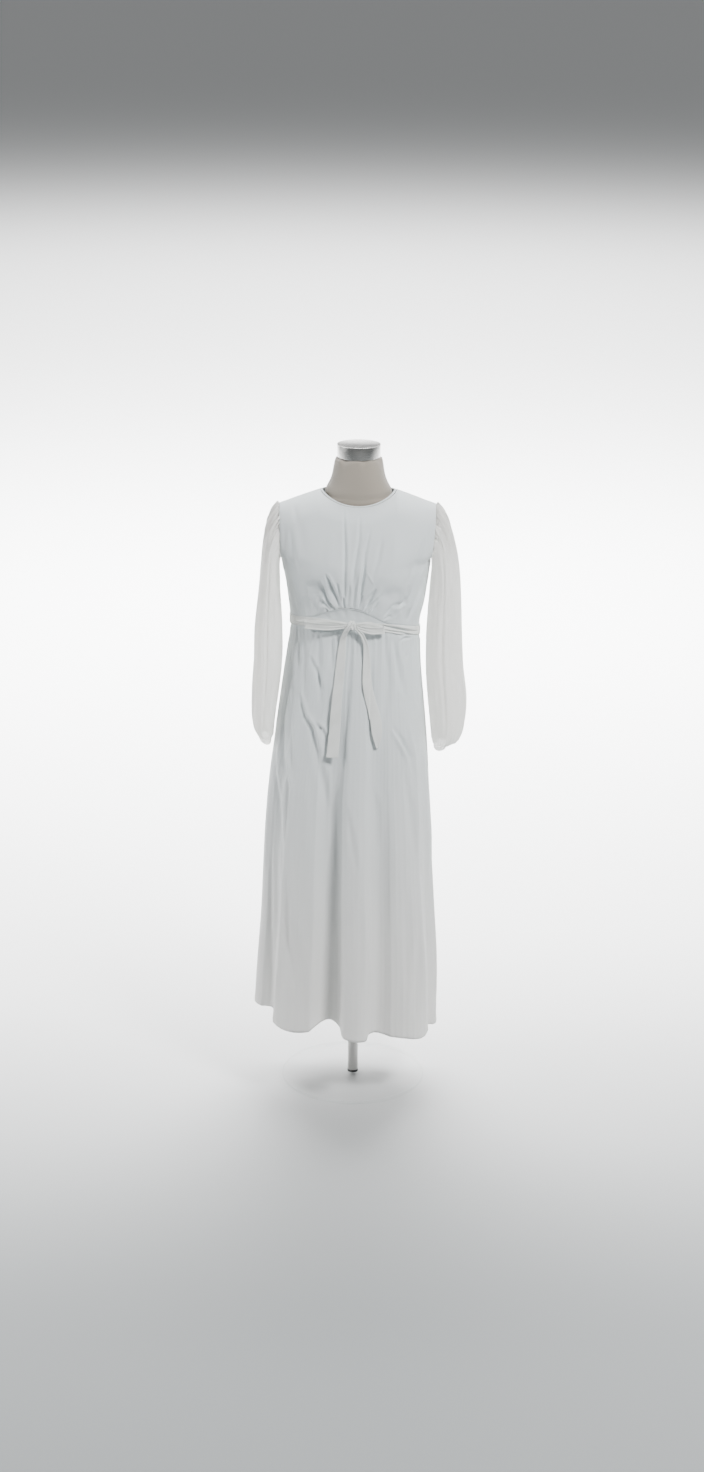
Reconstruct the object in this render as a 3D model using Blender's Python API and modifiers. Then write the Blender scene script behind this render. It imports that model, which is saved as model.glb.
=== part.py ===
"""White cotton midi dress with long gathered sleeves and a tied belt, on a limbless dress form.

Metres, +Z up. The front faces -Y and the wearer's right is at -X. The origin is the centre of the
base's underside. Each cut and sewn piece is a sheet whose outer face is worked out from the
section tables below and given its wall inwards.
"""
import math

import bmesh
import bpy
from mathutils import Vector

# Cloth walls and seams
CLOTH = 0.0014
BELT_CLOTH = 0.0016
SEAM = 0.0003

# Outer sections of the bodice. arm is the share of the full width left inside the armhole seam.
# height, left half, right half, front depth, back depth, arm
BODICE_SECTIONS = [
    (1.140, 0.1560, 0.1460, 0.1130, 0.0840, 1.00),
    (1.180, 0.1565, 0.1470, 0.1135, 0.0845, 1.00),
    (1.222, 0.1610, 0.1570, 0.1170, 0.0900, 1.00),
    (1.268, 0.1675, 0.1640, 0.1240, 0.0970, 1.00),
    (1.304, 0.1750, 0.1685, 0.1280, 0.1030, 1.00),
    (1.325, 0.1790, 0.1700, 0.1280, 0.1060, 1.00),
    (1.345, 0.1795, 0.1720, 0.1250, 0.1070, 0.93),
    (1.375, 0.1800, 0.1750, 0.1190, 0.1080, 0.90),
    (1.410, 0.1815, 0.1780, 0.1090, 0.1050, 0.90),
    (1.454, 0.1825, 0.1800, 0.0900, 0.0960, 0.91),
    (1.490, 0.1830, 0.1810, 0.0740, 0.0860, 0.91),
]
UNDERARM = 1.325
FULLNESS = 0.12
NECK_COLUMNS = 36
SIDE_COLUMNS = 8
BACK_NECK_COLUMNS = 7
BACK_SIDE_COLUMNS = 6
LOW_ROWS = 5
CHEST_ROWS = 3
SHOULDER_ROWS = 4
COLUMN_EASE = 1.5

# Shoulder seam, from the neck to the sleeve head, and the neckline below it
NECK_HALF_WIDTH = 0.0880
NECK_HEIGHT = 1.4850
SHOULDER_TIP = 0.1815
SHOULDER_TIP_HEIGHT = 1.4525
SHOULDER_ROUNDING = 0.0450
FRONT_NECK_DEPTH = 0.0650
FRONT_NECK_DROP = 0.0130
BACK_NECK_DEPTH = 0.0560
BINDING_WIDTH = 0.0050
BINDING_GAP = 0.0011
# how far the binding leans in at the sides, in at the front and back, and rises, for its width
BINDING_LEAN = (0.90, 0.70, 0.55)

# The bust of a general figure, as a soft rise on each side of the centre front
BUST_OUT = 0.0070
BUST_APART = 0.0760
BUST_HEIGHT = 1.3150
BUST_SPREAD = 0.0520

# Waist line, as the middle of the belt, which is tied high at the front
WAIST_HEIGHT = 1.1630
WAIST_HALF_WIDTH = 0.1515
WAIST_FRONT_RISE = 0.0300
WAIST_TILT = 0.0060
WAIST_HALF_BAND = 0.0110
ARCH_CENTRE = -0.0200
ARCH_HALF_WIDTH = 0.0980
ARCH_RISE = 0.0280
ARCH_FLATNESS = 0.75

# Gathers of the bodice, which fan up from the arched seam
GATHER_SPACING = 0.0172
GATHER_HALF_WIDTH = 0.0740
GATHER_OUT = 0.0032
GATHER_REACH = 0.0700
GATHER_TOP = 0.1700
GATHER_FAN = 9.0
GATHER_EDGE = 2.5

# Outer sections of the skirt
# height, left half, right half, front depth, back depth
SKIRT_SECTIONS = [
    (0.160, 0.2420, 0.2030, 0.1960, 0.1880),
    (0.324, 0.2350, 0.2010, 0.1880, 0.1790),
    (0.461, 0.2260, 0.1940, 0.1800, 0.1710),
    (0.576, 0.2210, 0.1870, 0.1730, 0.1640),
    (0.672, 0.2150, 0.1830, 0.1670, 0.1560),
    (0.774, 0.2080, 0.1760, 0.1590, 0.1460),
    (0.870, 0.1960, 0.1700, 0.1500, 0.1350),
    (0.950, 0.1860, 0.1630, 0.1410, 0.1240),
    (1.052, 0.1720, 0.1530, 0.1270, 0.1050),
    (1.110, 0.1625, 0.1490, 0.1190, 0.0930),
    (1.152, 0.1560, 0.1462, 0.1135, 0.0845),
    (1.200, 0.1568, 0.1500, 0.1140, 0.0860),
]
HEM_HEIGHT = 0.1900
HEM_TILT = 0.0130
HEM_LIFT = 0.25

# Hanging folds of the skirt, by their angle from the centre of the panel
# angle, half width, height out of the cloth at the hem, level where the fold starts
FRONT_FOLDS = [
    (-76.0, 9.0, 0.0070, 1.02),
    (-62.0, 9.0, -0.0150, 1.00),
    (-38.0, 21.0, 0.0130, 0.98),
    (-12.5, 10.0, -0.0440, 1.04),
    (5.0, 11.5, 0.0300, 1.12),
    (22.5, 9.0, -0.0240, 0.98),
    (43.0, 18.0, 0.0150, 1.00),
    (66.0, 9.0, -0.0140, 0.96),
    (78.0, 8.0, 0.0060, 0.90),
]
BACK_FOLDS = [
    (-74.0, 10.0, 0.0080, 0.98),
    (-57.0, 10.0, -0.0180, 1.02),
    (-35.0, 15.0, 0.0190, 1.08),
    (-14.0, 11.0, -0.0260, 1.00),
    (7.0, 13.0, 0.0210, 1.10),
    (29.0, 11.0, -0.0230, 0.96),
    (50.0, 14.0, 0.0160, 1.04),
    (72.0, 10.0, -0.0110, 0.94),
]
FOLD_GROWTH = 0.70
FOLD_FLATNESS = 0.70
SKIRT_GATHERS = 12
SKIRT_GATHER_OUT = 0.0022
SKIRT_GATHER_REACH = 0.0250
SKIRT_GATHER_EDGE = 9.0
SKIRT_ROW_EASE = 1.35

# Sleeves, by rings that turn from the upright armhole to the cuff. outer and inner are the far
# and near edges of each ring, as a distance from the centre plane and a height.
# station, outer x, outer height, inner x, inner height, half depth, gather height
LEFT_SLEEVE_RINGS = [
    (0.00, 0.1831, 1.4525, 0.1796, 1.3250, 0.0500, 0.0000),
    (0.06, 0.1985, 1.4420, 0.1806, 1.3200, 0.0630, 0.0016),
    (0.13, 0.2095, 1.4180, 0.1816, 1.3120, 0.0690, 0.0022),
    (0.21, 0.2180, 1.3780, 0.1822, 1.2960, 0.0740, 0.0022),
    (0.31, 0.2245, 1.3200, 0.1822, 1.2640, 0.0780, 0.0020),
    (0.42, 0.2325, 1.2380, 0.1792, 1.2080, 0.0820, 0.0020),
    (0.53, 0.2405, 1.1560, 0.1758, 1.1440, 0.0840, 0.0020),
    (0.65, 0.2435, 1.0740, 0.1765, 1.0700, 0.0840, 0.0020),
    (0.77, 0.2475, 0.9960, 0.1850, 0.9940, 0.0820, 0.0022),
    (0.87, 0.2480, 0.9400, 0.1930, 0.9320, 0.0760, 0.0026),
    (0.94, 0.2400, 0.9060, 0.1990, 0.8990, 0.0650, 0.0026),
    (1.00, 0.2280, 0.8950, 0.2010, 0.8815, 0.0470, 0.0012),
]
RIGHT_SLEEVE_RINGS = [
    (0.00, 0.1806, 1.4525, 0.1706, 1.3250, 0.0500, 0.0000),
    (0.06, 0.1980, 1.4400, 0.1718, 1.3200, 0.0630, 0.0016),
    (0.13, 0.2110, 1.4160, 0.1724, 1.3120, 0.0690, 0.0022),
    (0.21, 0.2240, 1.3720, 0.1722, 1.2960, 0.0740, 0.0024),
    (0.31, 0.2360, 1.3080, 0.1700, 1.2600, 0.0780, 0.0020),
    (0.42, 0.2430, 1.2280, 0.1655, 1.2020, 0.0820, 0.0020),
    (0.53, 0.2475, 1.1460, 0.1620, 1.1380, 0.0840, 0.0020),
    (0.65, 0.2520, 1.0640, 0.1640, 1.0620, 0.0840, 0.0020),
    (0.77, 0.2605, 0.9860, 0.1700, 0.9820, 0.0820, 0.0022),
    (0.87, 0.2580, 0.9260, 0.1765, 0.9160, 0.0760, 0.0026),
    (0.94, 0.2460, 0.8900, 0.1810, 0.8860, 0.0650, 0.0026),
    (1.00, 0.2210, 0.8790, 0.1850, 0.8735, 0.0470, 0.0012),
]
SLEEVE_GATHERS = 9
ARMHOLE_GAP = 0.0011
HEAD_SHARE = 0.42
HEAD_LENGTH = 0.16
SLEEVE_HEAD_GAP = 0.0002

# Cuffs, from the end of the sleeve down. outer x, outer height, inner x, inner height
CUFF_START = 0.05
LEFT_CUFF_END = (0.2310, 0.8848, 0.2030, 0.8705)
RIGHT_CUFF_END = (0.2160, 0.8680, 0.1860, 0.8615)

# Belt, bow and tails
BELT_HALF_HEIGHT = 0.0110
KNOT_CENTRE = -0.0130
KNOT_SIZE = (0.024, 0.018, 0.024)
KNOT_ROUNDING = 0.0050
KNOT_CLEARANCE = 0.0014
LOOP_WIDTH = 0.0200
LOOP_ROOT_WIDTH = 0.0110
LOOP_ROOT_SHARE = 0.70
LOOP_WIDENING = 1.5
LOOP_AWAY = 0.0110
LOOP_STRAIGHT = 0.36
# reach along the waist, half thickness, rise of the far end
LEFT_LOOP = (-0.0900, 0.0042, 0.0030)
RIGHT_LOOP = (0.0620, 0.0075, -0.0060)
# height, centre x, width, distance from the skirt. The last row goes on up to the knot.
LEFT_TAIL_ROWS = [
    (0.8800, -0.0545, 0.0270, 0.0034),
    (0.9400, -0.0500, 0.0250, 0.0034),
    (1.0100, -0.0450, 0.0225, 0.0036),
    (1.1200, -0.0345, 0.0190, 0.0040),
    (1.1740, -0.0175, 0.0100, 0.0110),
]
RIGHT_TAIL_ROWS = [
    (0.9030, 0.0490, 0.0060, 0.0036),
    (0.9380, 0.0470, 0.0230, 0.0036),
    (0.9700, 0.0440, 0.0250, 0.0036),
    (1.0480, 0.0225, 0.0215, 0.0040),
    (1.1200, 0.0195, 0.0150, 0.0050),
    (1.1600, 0.0090, 0.0100, 0.0070),
    (1.1760, -0.0060, 0.0085, 0.0110),
]

# Dress form. height, half width, front depth, back depth
FORM_SECTIONS = [
    (0.820, 0.1480, 0.0960, 0.1040),
    (0.860, 0.1540, 0.1040, 0.1140),
    (0.920, 0.1520, 0.1060, 0.1140),
    (1.000, 0.1380, 0.1010, 0.0980),
    (1.075, 0.1240, 0.0960, 0.0790),
    (1.150, 0.1300, 0.1000, 0.0760),
    (1.222, 0.1400, 0.1060, 0.0820),
    (1.290, 0.1530, 0.1180, 0.0900),
    (1.340, 0.1610, 0.1120, 0.0960),
    (1.390, 0.1660, 0.0980, 0.0960),
    (1.430, 0.1690, 0.0780, 0.0820),
]
FORM_NECK_SECTIONS = [
    (1.4740, 0.0750, 0.0480, 0.0450),
    (1.4865, 0.0715, 0.0500, 0.0470),
    (1.4976, 0.0675, 0.0515, 0.0490),
    (1.5100, 0.0615, 0.0525, 0.0505),
    (1.5300, 0.0560, 0.0520, 0.0510),
    (1.5630, 0.0520, 0.0510, 0.0510),
]
# Levels of the form's rings, to which the end of its shoulder is added
FORM_LEVELS = [
    0.820, 0.824, 0.860, 0.920, 0.980, 1.030, 1.075, 1.120, 1.180, 1.240, 1.290, 1.330,
    1.370, 1.405, 1.430, 1.444, 1.4590, 1.4640, 1.4690, 1.4735, 1.4850, 1.4976, 1.5120, 1.5300, 1.5630,
]
SHOULDER_REST = 0.0019
FORM_SHOULDER = 0.1710
FORM_NECK_ROOT = (0.0770, 1.4725)
FORM_CLEARANCE = 0.0085
FORM_LIFT = 0.0035
FORM_LIFT_REACH = 0.0700
FORM_LEAST_DEPTH = 0.20
FORM_FOOT_ROUNDING = 0.0040
FORM_SEGMENTS = 28
NECK_TOP = 1.5630
CAP_RADIUS = 0.0500
CAP_HEIGHT = 0.0300
CAP_LIP = 0.0006
CAP_LIP_HEIGHT = 0.0045
CAP_EDGE = 0.0012
POLE_RADIUS = 0.0125
FOOT_RADIUS = 0.0132
FOOT_HEIGHT = 0.0050
FOOT_BEVEL = 0.0010
BASE_RADIUS = 0.1750
BASE_THICKNESS = 0.0080
BASE_BEVEL = 0.0015


def table_at(rows, key):
    """Values of a table at a key, on a smooth curve through its rows."""
    keys = [row[0] for row in rows]
    key = min(max(key, keys[0]), keys[-1])
    index = max(i for i in range(len(rows) - 1) if keys[i] <= key)
    span = keys[index + 1] - keys[index]
    t = (key - keys[index]) / span

    def slope(i, column):
        before = max(i - 1, 0)
        after = min(i + 1, len(rows) - 1)
        return (rows[after][column] - rows[before][column]) / (keys[after] - keys[before])

    values = []
    for column in range(1, len(rows[0])):
        start = rows[index][column]
        end = rows[index + 1][column]
        leave = slope(index, column) * span
        arrive = slope(index + 1, column) * span
        values.append(
            start * (2 * t**3 - 3 * t**2 + 1)
            + leave * (t**3 - 2 * t**2 + t)
            + end * (3 * t**2 - 2 * t**3)
            + arrive * (t**3 - t**2)
        )
    return values


def smoothstep(value):
    """0 to 1 with level ends."""
    value = min(max(value, 0.0), 1.0)
    return value * value * (3.0 - 2.0 * value)


def bump(distance, half_width):
    """1 at the middle and 0 past the half width, with level ends."""
    if abs(distance) >= half_width:
        return 0.0
    return 0.5 + 0.5 * math.cos(math.pi * distance / half_width)


def blend(start, end, share):
    """A value or point part of the way from start to end."""
    return start + (end - start) * share


def waist_height(across, face):
    """Middle of the belt at a share across, -1 to 1. face is -1 for the front, 1 for the back."""
    rise = WAIST_FRONT_RISE * max(1.0 - across * across, 0.0) ** ARCH_FLATNESS if face < 0 else 0.0
    return WAIST_HEIGHT + rise - WAIST_TILT * across


def bodice_foot(across, face):
    """Lower edge of the bodice, which arches over the waist panel at the front."""
    height = waist_height(across, face) + WAIST_HALF_BAND
    if face < 0:
        left, right = table_at(BODICE_SECTIONS, height)[:2]
        x = (right - left) / 2 + across * (left + right) / 2
        height += ARCH_RISE * bump(x - ARCH_CENTRE, ARCH_HALF_WIDTH) ** ARCH_FLATNESS
    return height


def body_point(across, height, face, turn=0.0):
    """Point of the smooth body outline. turn rounds it over the shoulder, up to a right angle."""
    left, right, front, back, arm = table_at(BODICE_SECTIONS, height)
    half = (left + right) / 2
    x = (right - left) / 2 + across * half
    reach = arm * across
    depth = front if face < 0 else back
    y = depth * math.sqrt(max(1.0 - reach * reach, 0.0)) * (1.0 + FULLNESS * reach * reach)
    if face < 0:
        for side in (-1, 1):
            away = (x - side * BUST_APART) ** 2 + (height - BUST_HEIGHT) ** 2
            y += BUST_OUT * math.exp(-away / BUST_SPREAD**2) * (1.0 - abs(reach) ** 4)
    return Vector((x, face * y * math.cos(turn), height))


def neck_edge(angle, grow=0.0):
    """Neckline at an angle round the neck, 0 at the front centre. grow moves it in and up."""
    face = -1 if math.cos(angle) > 0 else 1
    depth = FRONT_NECK_DEPTH if face < 0 else BACK_NECK_DEPTH
    drop = FRONT_NECK_DROP if face < 0 else 0.0
    y = depth * abs(math.cos(angle))
    level = NECK_HEIGHT - SHOULDER_ROUNDING - drop * math.cos(angle) ** 2
    left, right = table_at(BODICE_SECTIONS, SHOULDER_TIP_HEIGHT)[:2]
    across = (NECK_HALF_WIDTH * math.sin(angle) - (right - left) / 2) / ((left + right) / 2)
    height = NECK_HEIGHT
    for _ in range(4):
        full = abs(body_point(across, height, face).y)
        height = level + SHOULDER_ROUNDING * math.sqrt(1.0 - min(y / full, 1.0) ** 2)
    side_lean, front_lean, rise = (share * grow for share in BINDING_LEAN)
    return Vector((
        (NECK_HALF_WIDTH - side_lean) * math.sin(angle),
        face * (y - front_lean * abs(math.cos(angle))),
        height + rise,
    ))


def shoulder_height(x):
    """Height of the shoulder seam at a distance from the centre plane."""
    share = (abs(x) - NECK_HALF_WIDTH) / (SHOULDER_TIP - NECK_HALF_WIDTH)
    return blend(NECK_HEIGHT, SHOULDER_TIP_HEIGHT, share)


def bodice_point(across, up, face):
    """Outer face of the bodice. up is 0 at the waist, 1 at the underarm and 2 at the top edge."""
    foot = bodice_foot(across, face) + SEAM / 2
    turn = 0.0
    if up <= 1.0:
        height = blend(foot, UNDERARM, up)
    else:
        top_x = body_point(across, SHOULDER_TIP_HEIGHT, face).x
        if abs(top_x) < NECK_HALF_WIDTH:
            angle = math.asin(top_x / NECK_HALF_WIDTH)
            edge = neck_edge(angle if face < 0 else math.pi - angle)
            full = abs(body_point(across, edge.z, face).y)
            last_turn = math.acos(min(abs(edge.y) / full, 1.0))
            top = edge.z
        else:
            last_turn = math.pi / 2
            top = shoulder_height(top_x)
        level = top - SHOULDER_ROUNDING * math.sin(last_turn)
        if up <= 1.5:
            height = blend(UNDERARM, level, (up - 1.0) * 2)
        else:
            turn = last_turn * (1.0 - (1.0 - (up - 1.5) * 2) ** 2)
            height = level + SHOULDER_ROUNDING * math.sin(turn)
    point = body_point(across, height, face, turn)
    if face < 0:
        point.y -= gather_out(point, foot)
    point.y += face * SEAM / 2
    return point


def gather_out(point, foot):
    """How far the bodice gathers stand out of the smooth front."""
    above = max(point.z - foot, 0.0)
    along = (point.x - ARCH_CENTRE) / (1.0 + GATHER_FAN * above)
    if abs(along) >= GATHER_HALF_WIDTH or above >= GATHER_TOP:
        return 0.0
    wave = 0.5 + 0.5 * math.cos(2 * math.pi * along / GATHER_SPACING)
    sides = smoothstep(GATHER_EDGE * (1.0 - abs(along) / GATHER_HALF_WIDTH))
    return GATHER_OUT * wave * sides * math.exp(-above / GATHER_REACH) * (1.0 - above / GATHER_TOP)


def fold_out(angle, height, face, valleys=True):
    """How far the hanging folds stand out of the smooth skirt."""
    out = 0.0
    for middle, half_width, rise, start in FRONT_FOLDS if face < 0 else BACK_FOLDS:
        if rise < 0 and not valleys:
            continue
        grown = ((start - height) / (start - HEM_HEIGHT)) if height < start else 0.0
        shape = bump(angle - middle, half_width) ** FOLD_FLATNESS
        out += rise * shape * grown**FOLD_GROWTH
    return out


def skirt_point(angle, height, face, valleys=True, away=0.0):
    """Outer face of the skirt, at degrees from the centre of the panel and a height."""
    left, right, front, back = table_at(SKIRT_SECTIONS, height)
    turn = math.radians(angle)
    half = (left + right) / 2
    depth = front if face < 0 else back
    spread = 1.0 + FULLNESS * math.sin(turn) ** 2
    outward = Vector((math.sin(turn) * depth, face * math.cos(turn) * half, 0.0)).normalized()
    below = max(waist_height(math.sin(turn), face) - WAIST_HALF_BAND - height, 0.0)
    near = below / SKIRT_GATHER_REACH
    gather = SKIRT_GATHER_OUT * near * math.exp(1.0 - near)
    if valleys:
        gather *= 0.5 + 0.5 * math.cos(turn * 2 * SKIRT_GATHERS)
    gather *= smoothstep((90.0 - abs(angle)) / SKIRT_GATHER_EDGE)
    out = fold_out(angle, height, face, valleys) + gather + away
    x = (right - left) / 2 + half * math.sin(turn)
    point = Vector((x, face * depth * math.cos(turn) * spread, height)) + outward * out
    point.y += face * SEAM / 2
    return point


def hem_height(angle, face):
    """Height of the hem, lower on the right and where a fold stands out."""
    tilt = HEM_TILT * math.sin(math.radians(angle))
    return HEM_HEIGHT - tilt - HEM_LIFT * fold_out(angle, HEM_HEIGHT, face)


def make_collection(name):
    """A new collection in the scene."""
    collection = bpy.data.collections.new(name)
    bpy.context.scene.collection.children.link(collection)
    return collection


def make_material(name, colour, roughness, metallic=0.0, transmission=0.0):
    """A Principled material of one finish."""
    material = bpy.data.materials.new(name)
    material.use_nodes = True
    shader = material.node_tree.nodes["Principled BSDF"]
    shader.inputs["Base Color"].default_value = (*colour, 1.0)
    shader.inputs["Roughness"].default_value = roughness
    shader.inputs["Metallic"].default_value = metallic
    shader.inputs["Transmission Weight"].default_value = transmission
    return material


def add_object(name, mesh, material):
    """Put a mesh in the dress collection with its material, shaded smooth."""
    mesh.materials.append(material)
    mesh.shade_smooth()
    mesh.set_sharp_from_angle(angle=math.radians(50))
    obj = bpy.data.objects.new(name, mesh)
    DRESS.objects.link(obj)
    return obj


def make_sheet(name, columns, rows, place, wall, material, inside, closed=False, ends=False):
    """A cloth piece of columns by rows, placed by place(u, v), with its wall set inwards.

    inside is a point behind the outer face. closed joins the first and last columns, and ends
    fills the first and last rows, which makes a solid with no wall.
    """
    bm = bmesh.new()
    bmesh.ops.create_grid(bm, x_segments=columns, y_segments=rows, size=0.5)
    for vert in bm.verts:
        vert.co = place(vert.co.x + 0.5, vert.co.y + 0.5)
    if closed:
        bmesh.ops.remove_doubles(bm, verts=bm.verts[:], dist=0.000001)
    if ends:
        bmesh.ops.holes_fill(bm, edges=bm.edges[:])
    bm.normal_update()
    outward = sum(face.normal.dot(face.calc_center_median() - inside) * face.calc_area() for face in bm.faces)
    if outward < 0:
        bmesh.ops.reverse_faces(bm, faces=bm.faces[:])
    if ends:
        bmesh.ops.recalc_face_normals(bm, faces=bm.faces[:])
    mesh = bpy.data.meshes.new(name)
    bm.to_mesh(mesh)
    bm.free()
    obj = add_object(name, mesh, material)
    if wall:
        solidify = obj.modifiers.new("wall", "SOLIDIFY")
        solidify.thickness = wall
        solidify.offset = -1.0
        solidify.use_quality_normals = True
    return obj


def make_turned(name, profile, segments, material):
    """A solid turned about the Z axis from (radius, height) points, top to bottom."""
    mesh = bpy.data.meshes.new(name)
    points = [(radius, 0.0, height) for radius, height in profile]
    mesh.from_pydata(points, [(i, i + 1) for i in range(len(points) - 1)], [])
    obj = add_object(name, mesh, material)
    screw = obj.modifiers.new("turn", "SCREW")
    screw.axis = "Z"
    screw.steps = segments
    screw.render_steps = segments
    screw.use_merge_vertices = True
    screw.merge_threshold = 0.0001
    return obj


def bodice_across(u):
    """Share across the front for a column, with even columns below the neckline."""
    left, right = (neck_corner(side) for side in (-1, 1))
    column = u * (NECK_COLUMNS + 2 * SIDE_COLUMNS)
    if column < SIDE_COLUMNS:
        share = (column / SIDE_COLUMNS) ** COLUMN_EASE
        return math.sin(blend(-math.pi / 2, math.asin(left), share))
    if column > SIDE_COLUMNS + NECK_COLUMNS:
        share = (2 + NECK_COLUMNS / SIDE_COLUMNS - column / SIDE_COLUMNS) ** COLUMN_EASE
        return math.sin(blend(math.pi / 2, math.asin(right), share))
    return blend(left, right, (column - SIDE_COLUMNS) / NECK_COLUMNS)


def neck_corner(side):
    """Share across the bodice where the neckline meets the shoulder seam."""
    left, right = table_at(BODICE_SECTIONS, SHOULDER_TIP_HEIGHT)[:2]
    return (side * NECK_HALF_WIDTH - (right - left) / 2) / ((left + right) / 2)


def back_across(u, side):
    """Share across one back for a column, with columns below the neckline and past it."""
    corner = neck_corner(side)
    column = u * (BACK_NECK_COLUMNS + BACK_SIDE_COLUMNS)
    if column <= BACK_NECK_COLUMNS:
        return blend(centre_line(), corner, math.sin(column / BACK_NECK_COLUMNS * math.pi / 2))
    share = (BACK_NECK_COLUMNS / BACK_SIDE_COLUMNS + 1.0 - column / BACK_SIDE_COLUMNS) ** COLUMN_EASE
    return math.sin(blend(side * math.pi / 2, math.asin(corner), share))


def centre_line():
    """Share across the bodice on the centre plane, where the back closes."""
    left, right = table_at(BODICE_SECTIONS, SHOULDER_TIP_HEIGHT)[:2]
    return -(right - left) / (left + right)


def bodice_up(v):
    """Row position up the bodice, with rows to the underarm, above it and over the shoulder."""
    row = v * (LOW_ROWS + CHEST_ROWS + SHOULDER_ROWS)
    if row <= LOW_ROWS:
        return row / LOW_ROWS
    if row <= LOW_ROWS + CHEST_ROWS:
        return 1.0 + 0.5 * ((row - LOW_ROWS) / CHEST_ROWS) ** 2
    return 1.5 + 0.5 * (row - LOW_ROWS - CHEST_ROWS) / SHOULDER_ROWS


def make_bodice():
    """Front and the two backs, which meet at a plain centre-back seam."""
    inside = Vector((0.0, 0.0, UNDERARM))
    rows = LOW_ROWS + CHEST_ROWS + SHOULDER_ROWS
    make_sheet(
        "bodice_front", NECK_COLUMNS + 2 * SIDE_COLUMNS, rows,
        lambda u, v: bodice_point(bodice_across(u), bodice_up(v), -1),
        CLOTH, COTTON, inside,
    )
    for name, side in (("bodice_back_left", -1), ("bodice_back_right", 1)):
        def place(u, v, side=side):
            point = bodice_point(back_across(u, side), bodice_up(v), 1)
            point.x += side * (1.0 - u) * SEAM / 2
            return point

        make_sheet(name, BACK_NECK_COLUMNS + BACK_SIDE_COLUMNS, rows, place, CLOTH, COTTON, inside)


def make_binding():
    """Narrow bound edge that stands on the neckline, all the way round."""

    def place(u, v):
        grow = blend(BINDING_GAP, BINDING_WIDTH, v)
        return neck_edge(u * 2 * math.pi - math.pi, grow)

    make_sheet("neck_binding", 44, 1, place, CLOTH, COTTON, Vector((0.0, 0.0, UNDERARM)), closed=True)


def make_waist():
    """Arched panel at the front and a plain band at the back, under the belt."""
    inside = Vector((0.0, 0.0, WAIST_HEIGHT))
    for name, face, columns, rows in (("waist_panel_front", -1, 32, 2), ("waist_band_back", 1, 20, 1)):
        def place(u, v, face=face):
            across = math.sin((u - 0.5) * math.pi)
            low = waist_height(across, face) - WAIST_HALF_BAND + SEAM / 2
            point = body_point(across, blend(low, bodice_foot(across, face) - SEAM / 2, v), face)
            point.y += face * SEAM / 2
            return point

        make_sheet(name, columns, rows, place, CLOTH, COTTON, inside)


def make_skirt():
    """Front and back panels, gathered into the waist, with their hanging folds."""
    inside = Vector((-0.01, 0.0, 0.6))
    for name, face, columns, rows in (("skirt_front", -1, 48, 12), ("skirt_back", 1, 40, 10)):
        def place(u, v, face=face):
            angle = (u - 0.5) * 180
            top = waist_height(math.sin(math.radians(angle)), face) - WAIST_HALF_BAND - SEAM / 2
            share = (1.0 - v) ** SKIRT_ROW_EASE
            return skirt_point(angle, blend(top, hem_height(angle, face), share), face)

        make_sheet(name, columns, rows, place, CLOTH, COTTON, inside)


def sleeve_ring(rows, side, angle, station):
    """Point of a sleeve at an angle round it, 0 on the outer side, and a share down its length."""
    outer_x, outer_z, inner_x, inner_z, depth, gather = table_at(rows, station)
    outer = Vector((side * outer_x, 0.0, outer_z))
    inner = Vector((side * inner_x, 0.0, inner_z))
    round_it = (outer - inner) / 2 * math.cos(angle) + Vector((0.0, -depth * math.sin(angle), 0.0))
    wave = gather * math.cos(SLEEVE_GATHERS * angle) * smoothstep(abs(math.sin(angle)) * 2 + 0.4)
    return (outer + inner) / 2 + round_it + round_it.normalized() * wave


def armhole_point(side, angle):
    """Point of the armhole seam at an angle round it, 0 at the shoulder and pi at the underarm."""
    share = angle / math.pi if angle <= math.pi else 2.0 - angle / math.pi
    face = -1 if math.sin(angle) >= 0 else 1
    if share < HEAD_SHARE:
        up = 2.0 - 0.5 * math.sqrt(share / HEAD_SHARE)
    else:
        up = 1.0 + 0.5 * ((1.0 - share) / (1.0 - HEAD_SHARE)) ** 2
    point = bodice_point(side, up, face)
    point.x += side * (ARMHOLE_GAP + SLEEVE_HEAD_GAP * max(math.cos(angle), 0.0) ** 2)
    point.y -= face * SEAM / 2
    return point


def make_sleeves():
    """Full sleeves, gathered at the head and into a narrow cuff, hanging empty."""
    for name, side, rows, cuff_end in (
        ("left", -1, LEFT_SLEEVE_RINGS, LEFT_CUFF_END),
        ("right", 1, RIGHT_SLEEVE_RINGS, RIGHT_CUFF_END),
    ):
        def place(u, v, side=side, rows=rows):
            angle = u * 2 * math.pi
            ring = sleeve_ring(rows, side, angle, v)
            return blend(armhole_point(side, angle), ring, smoothstep(v / HEAD_LENGTH))

        def place_cuff(u, v, side=side, rows=rows, cuff_end=cuff_end):
            angle = u * 2 * math.pi
            top = sleeve_ring(rows, side, angle, 1.0)
            outer = Vector((side * cuff_end[0], 0.0, cuff_end[1]))
            inner = Vector((side * cuff_end[2], 0.0, cuff_end[3]))
            depth = rows[-1][5]
            end = (outer + inner) / 2 + (outer - inner) / 2 * math.cos(angle)
            end.y = -depth * math.sin(angle)
            return blend(top, end, blend(CUFF_START, 1.0, v))

        middle = table_at(rows, 0.6)
        inside = Vector((side * (middle[0] + middle[2]) / 2, 0.0, middle[1]))
        make_sheet("sleeve_" + name, 36, 12, place, CLOTH, COTTON, inside, closed=True)
        inside = Vector((side * (cuff_end[0] + cuff_end[2]) / 2, 0.0, cuff_end[1]))
        make_sheet("cuff_" + name, 36, 1, place_cuff, CLOTH, COTTON, inside, closed=True)


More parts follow.
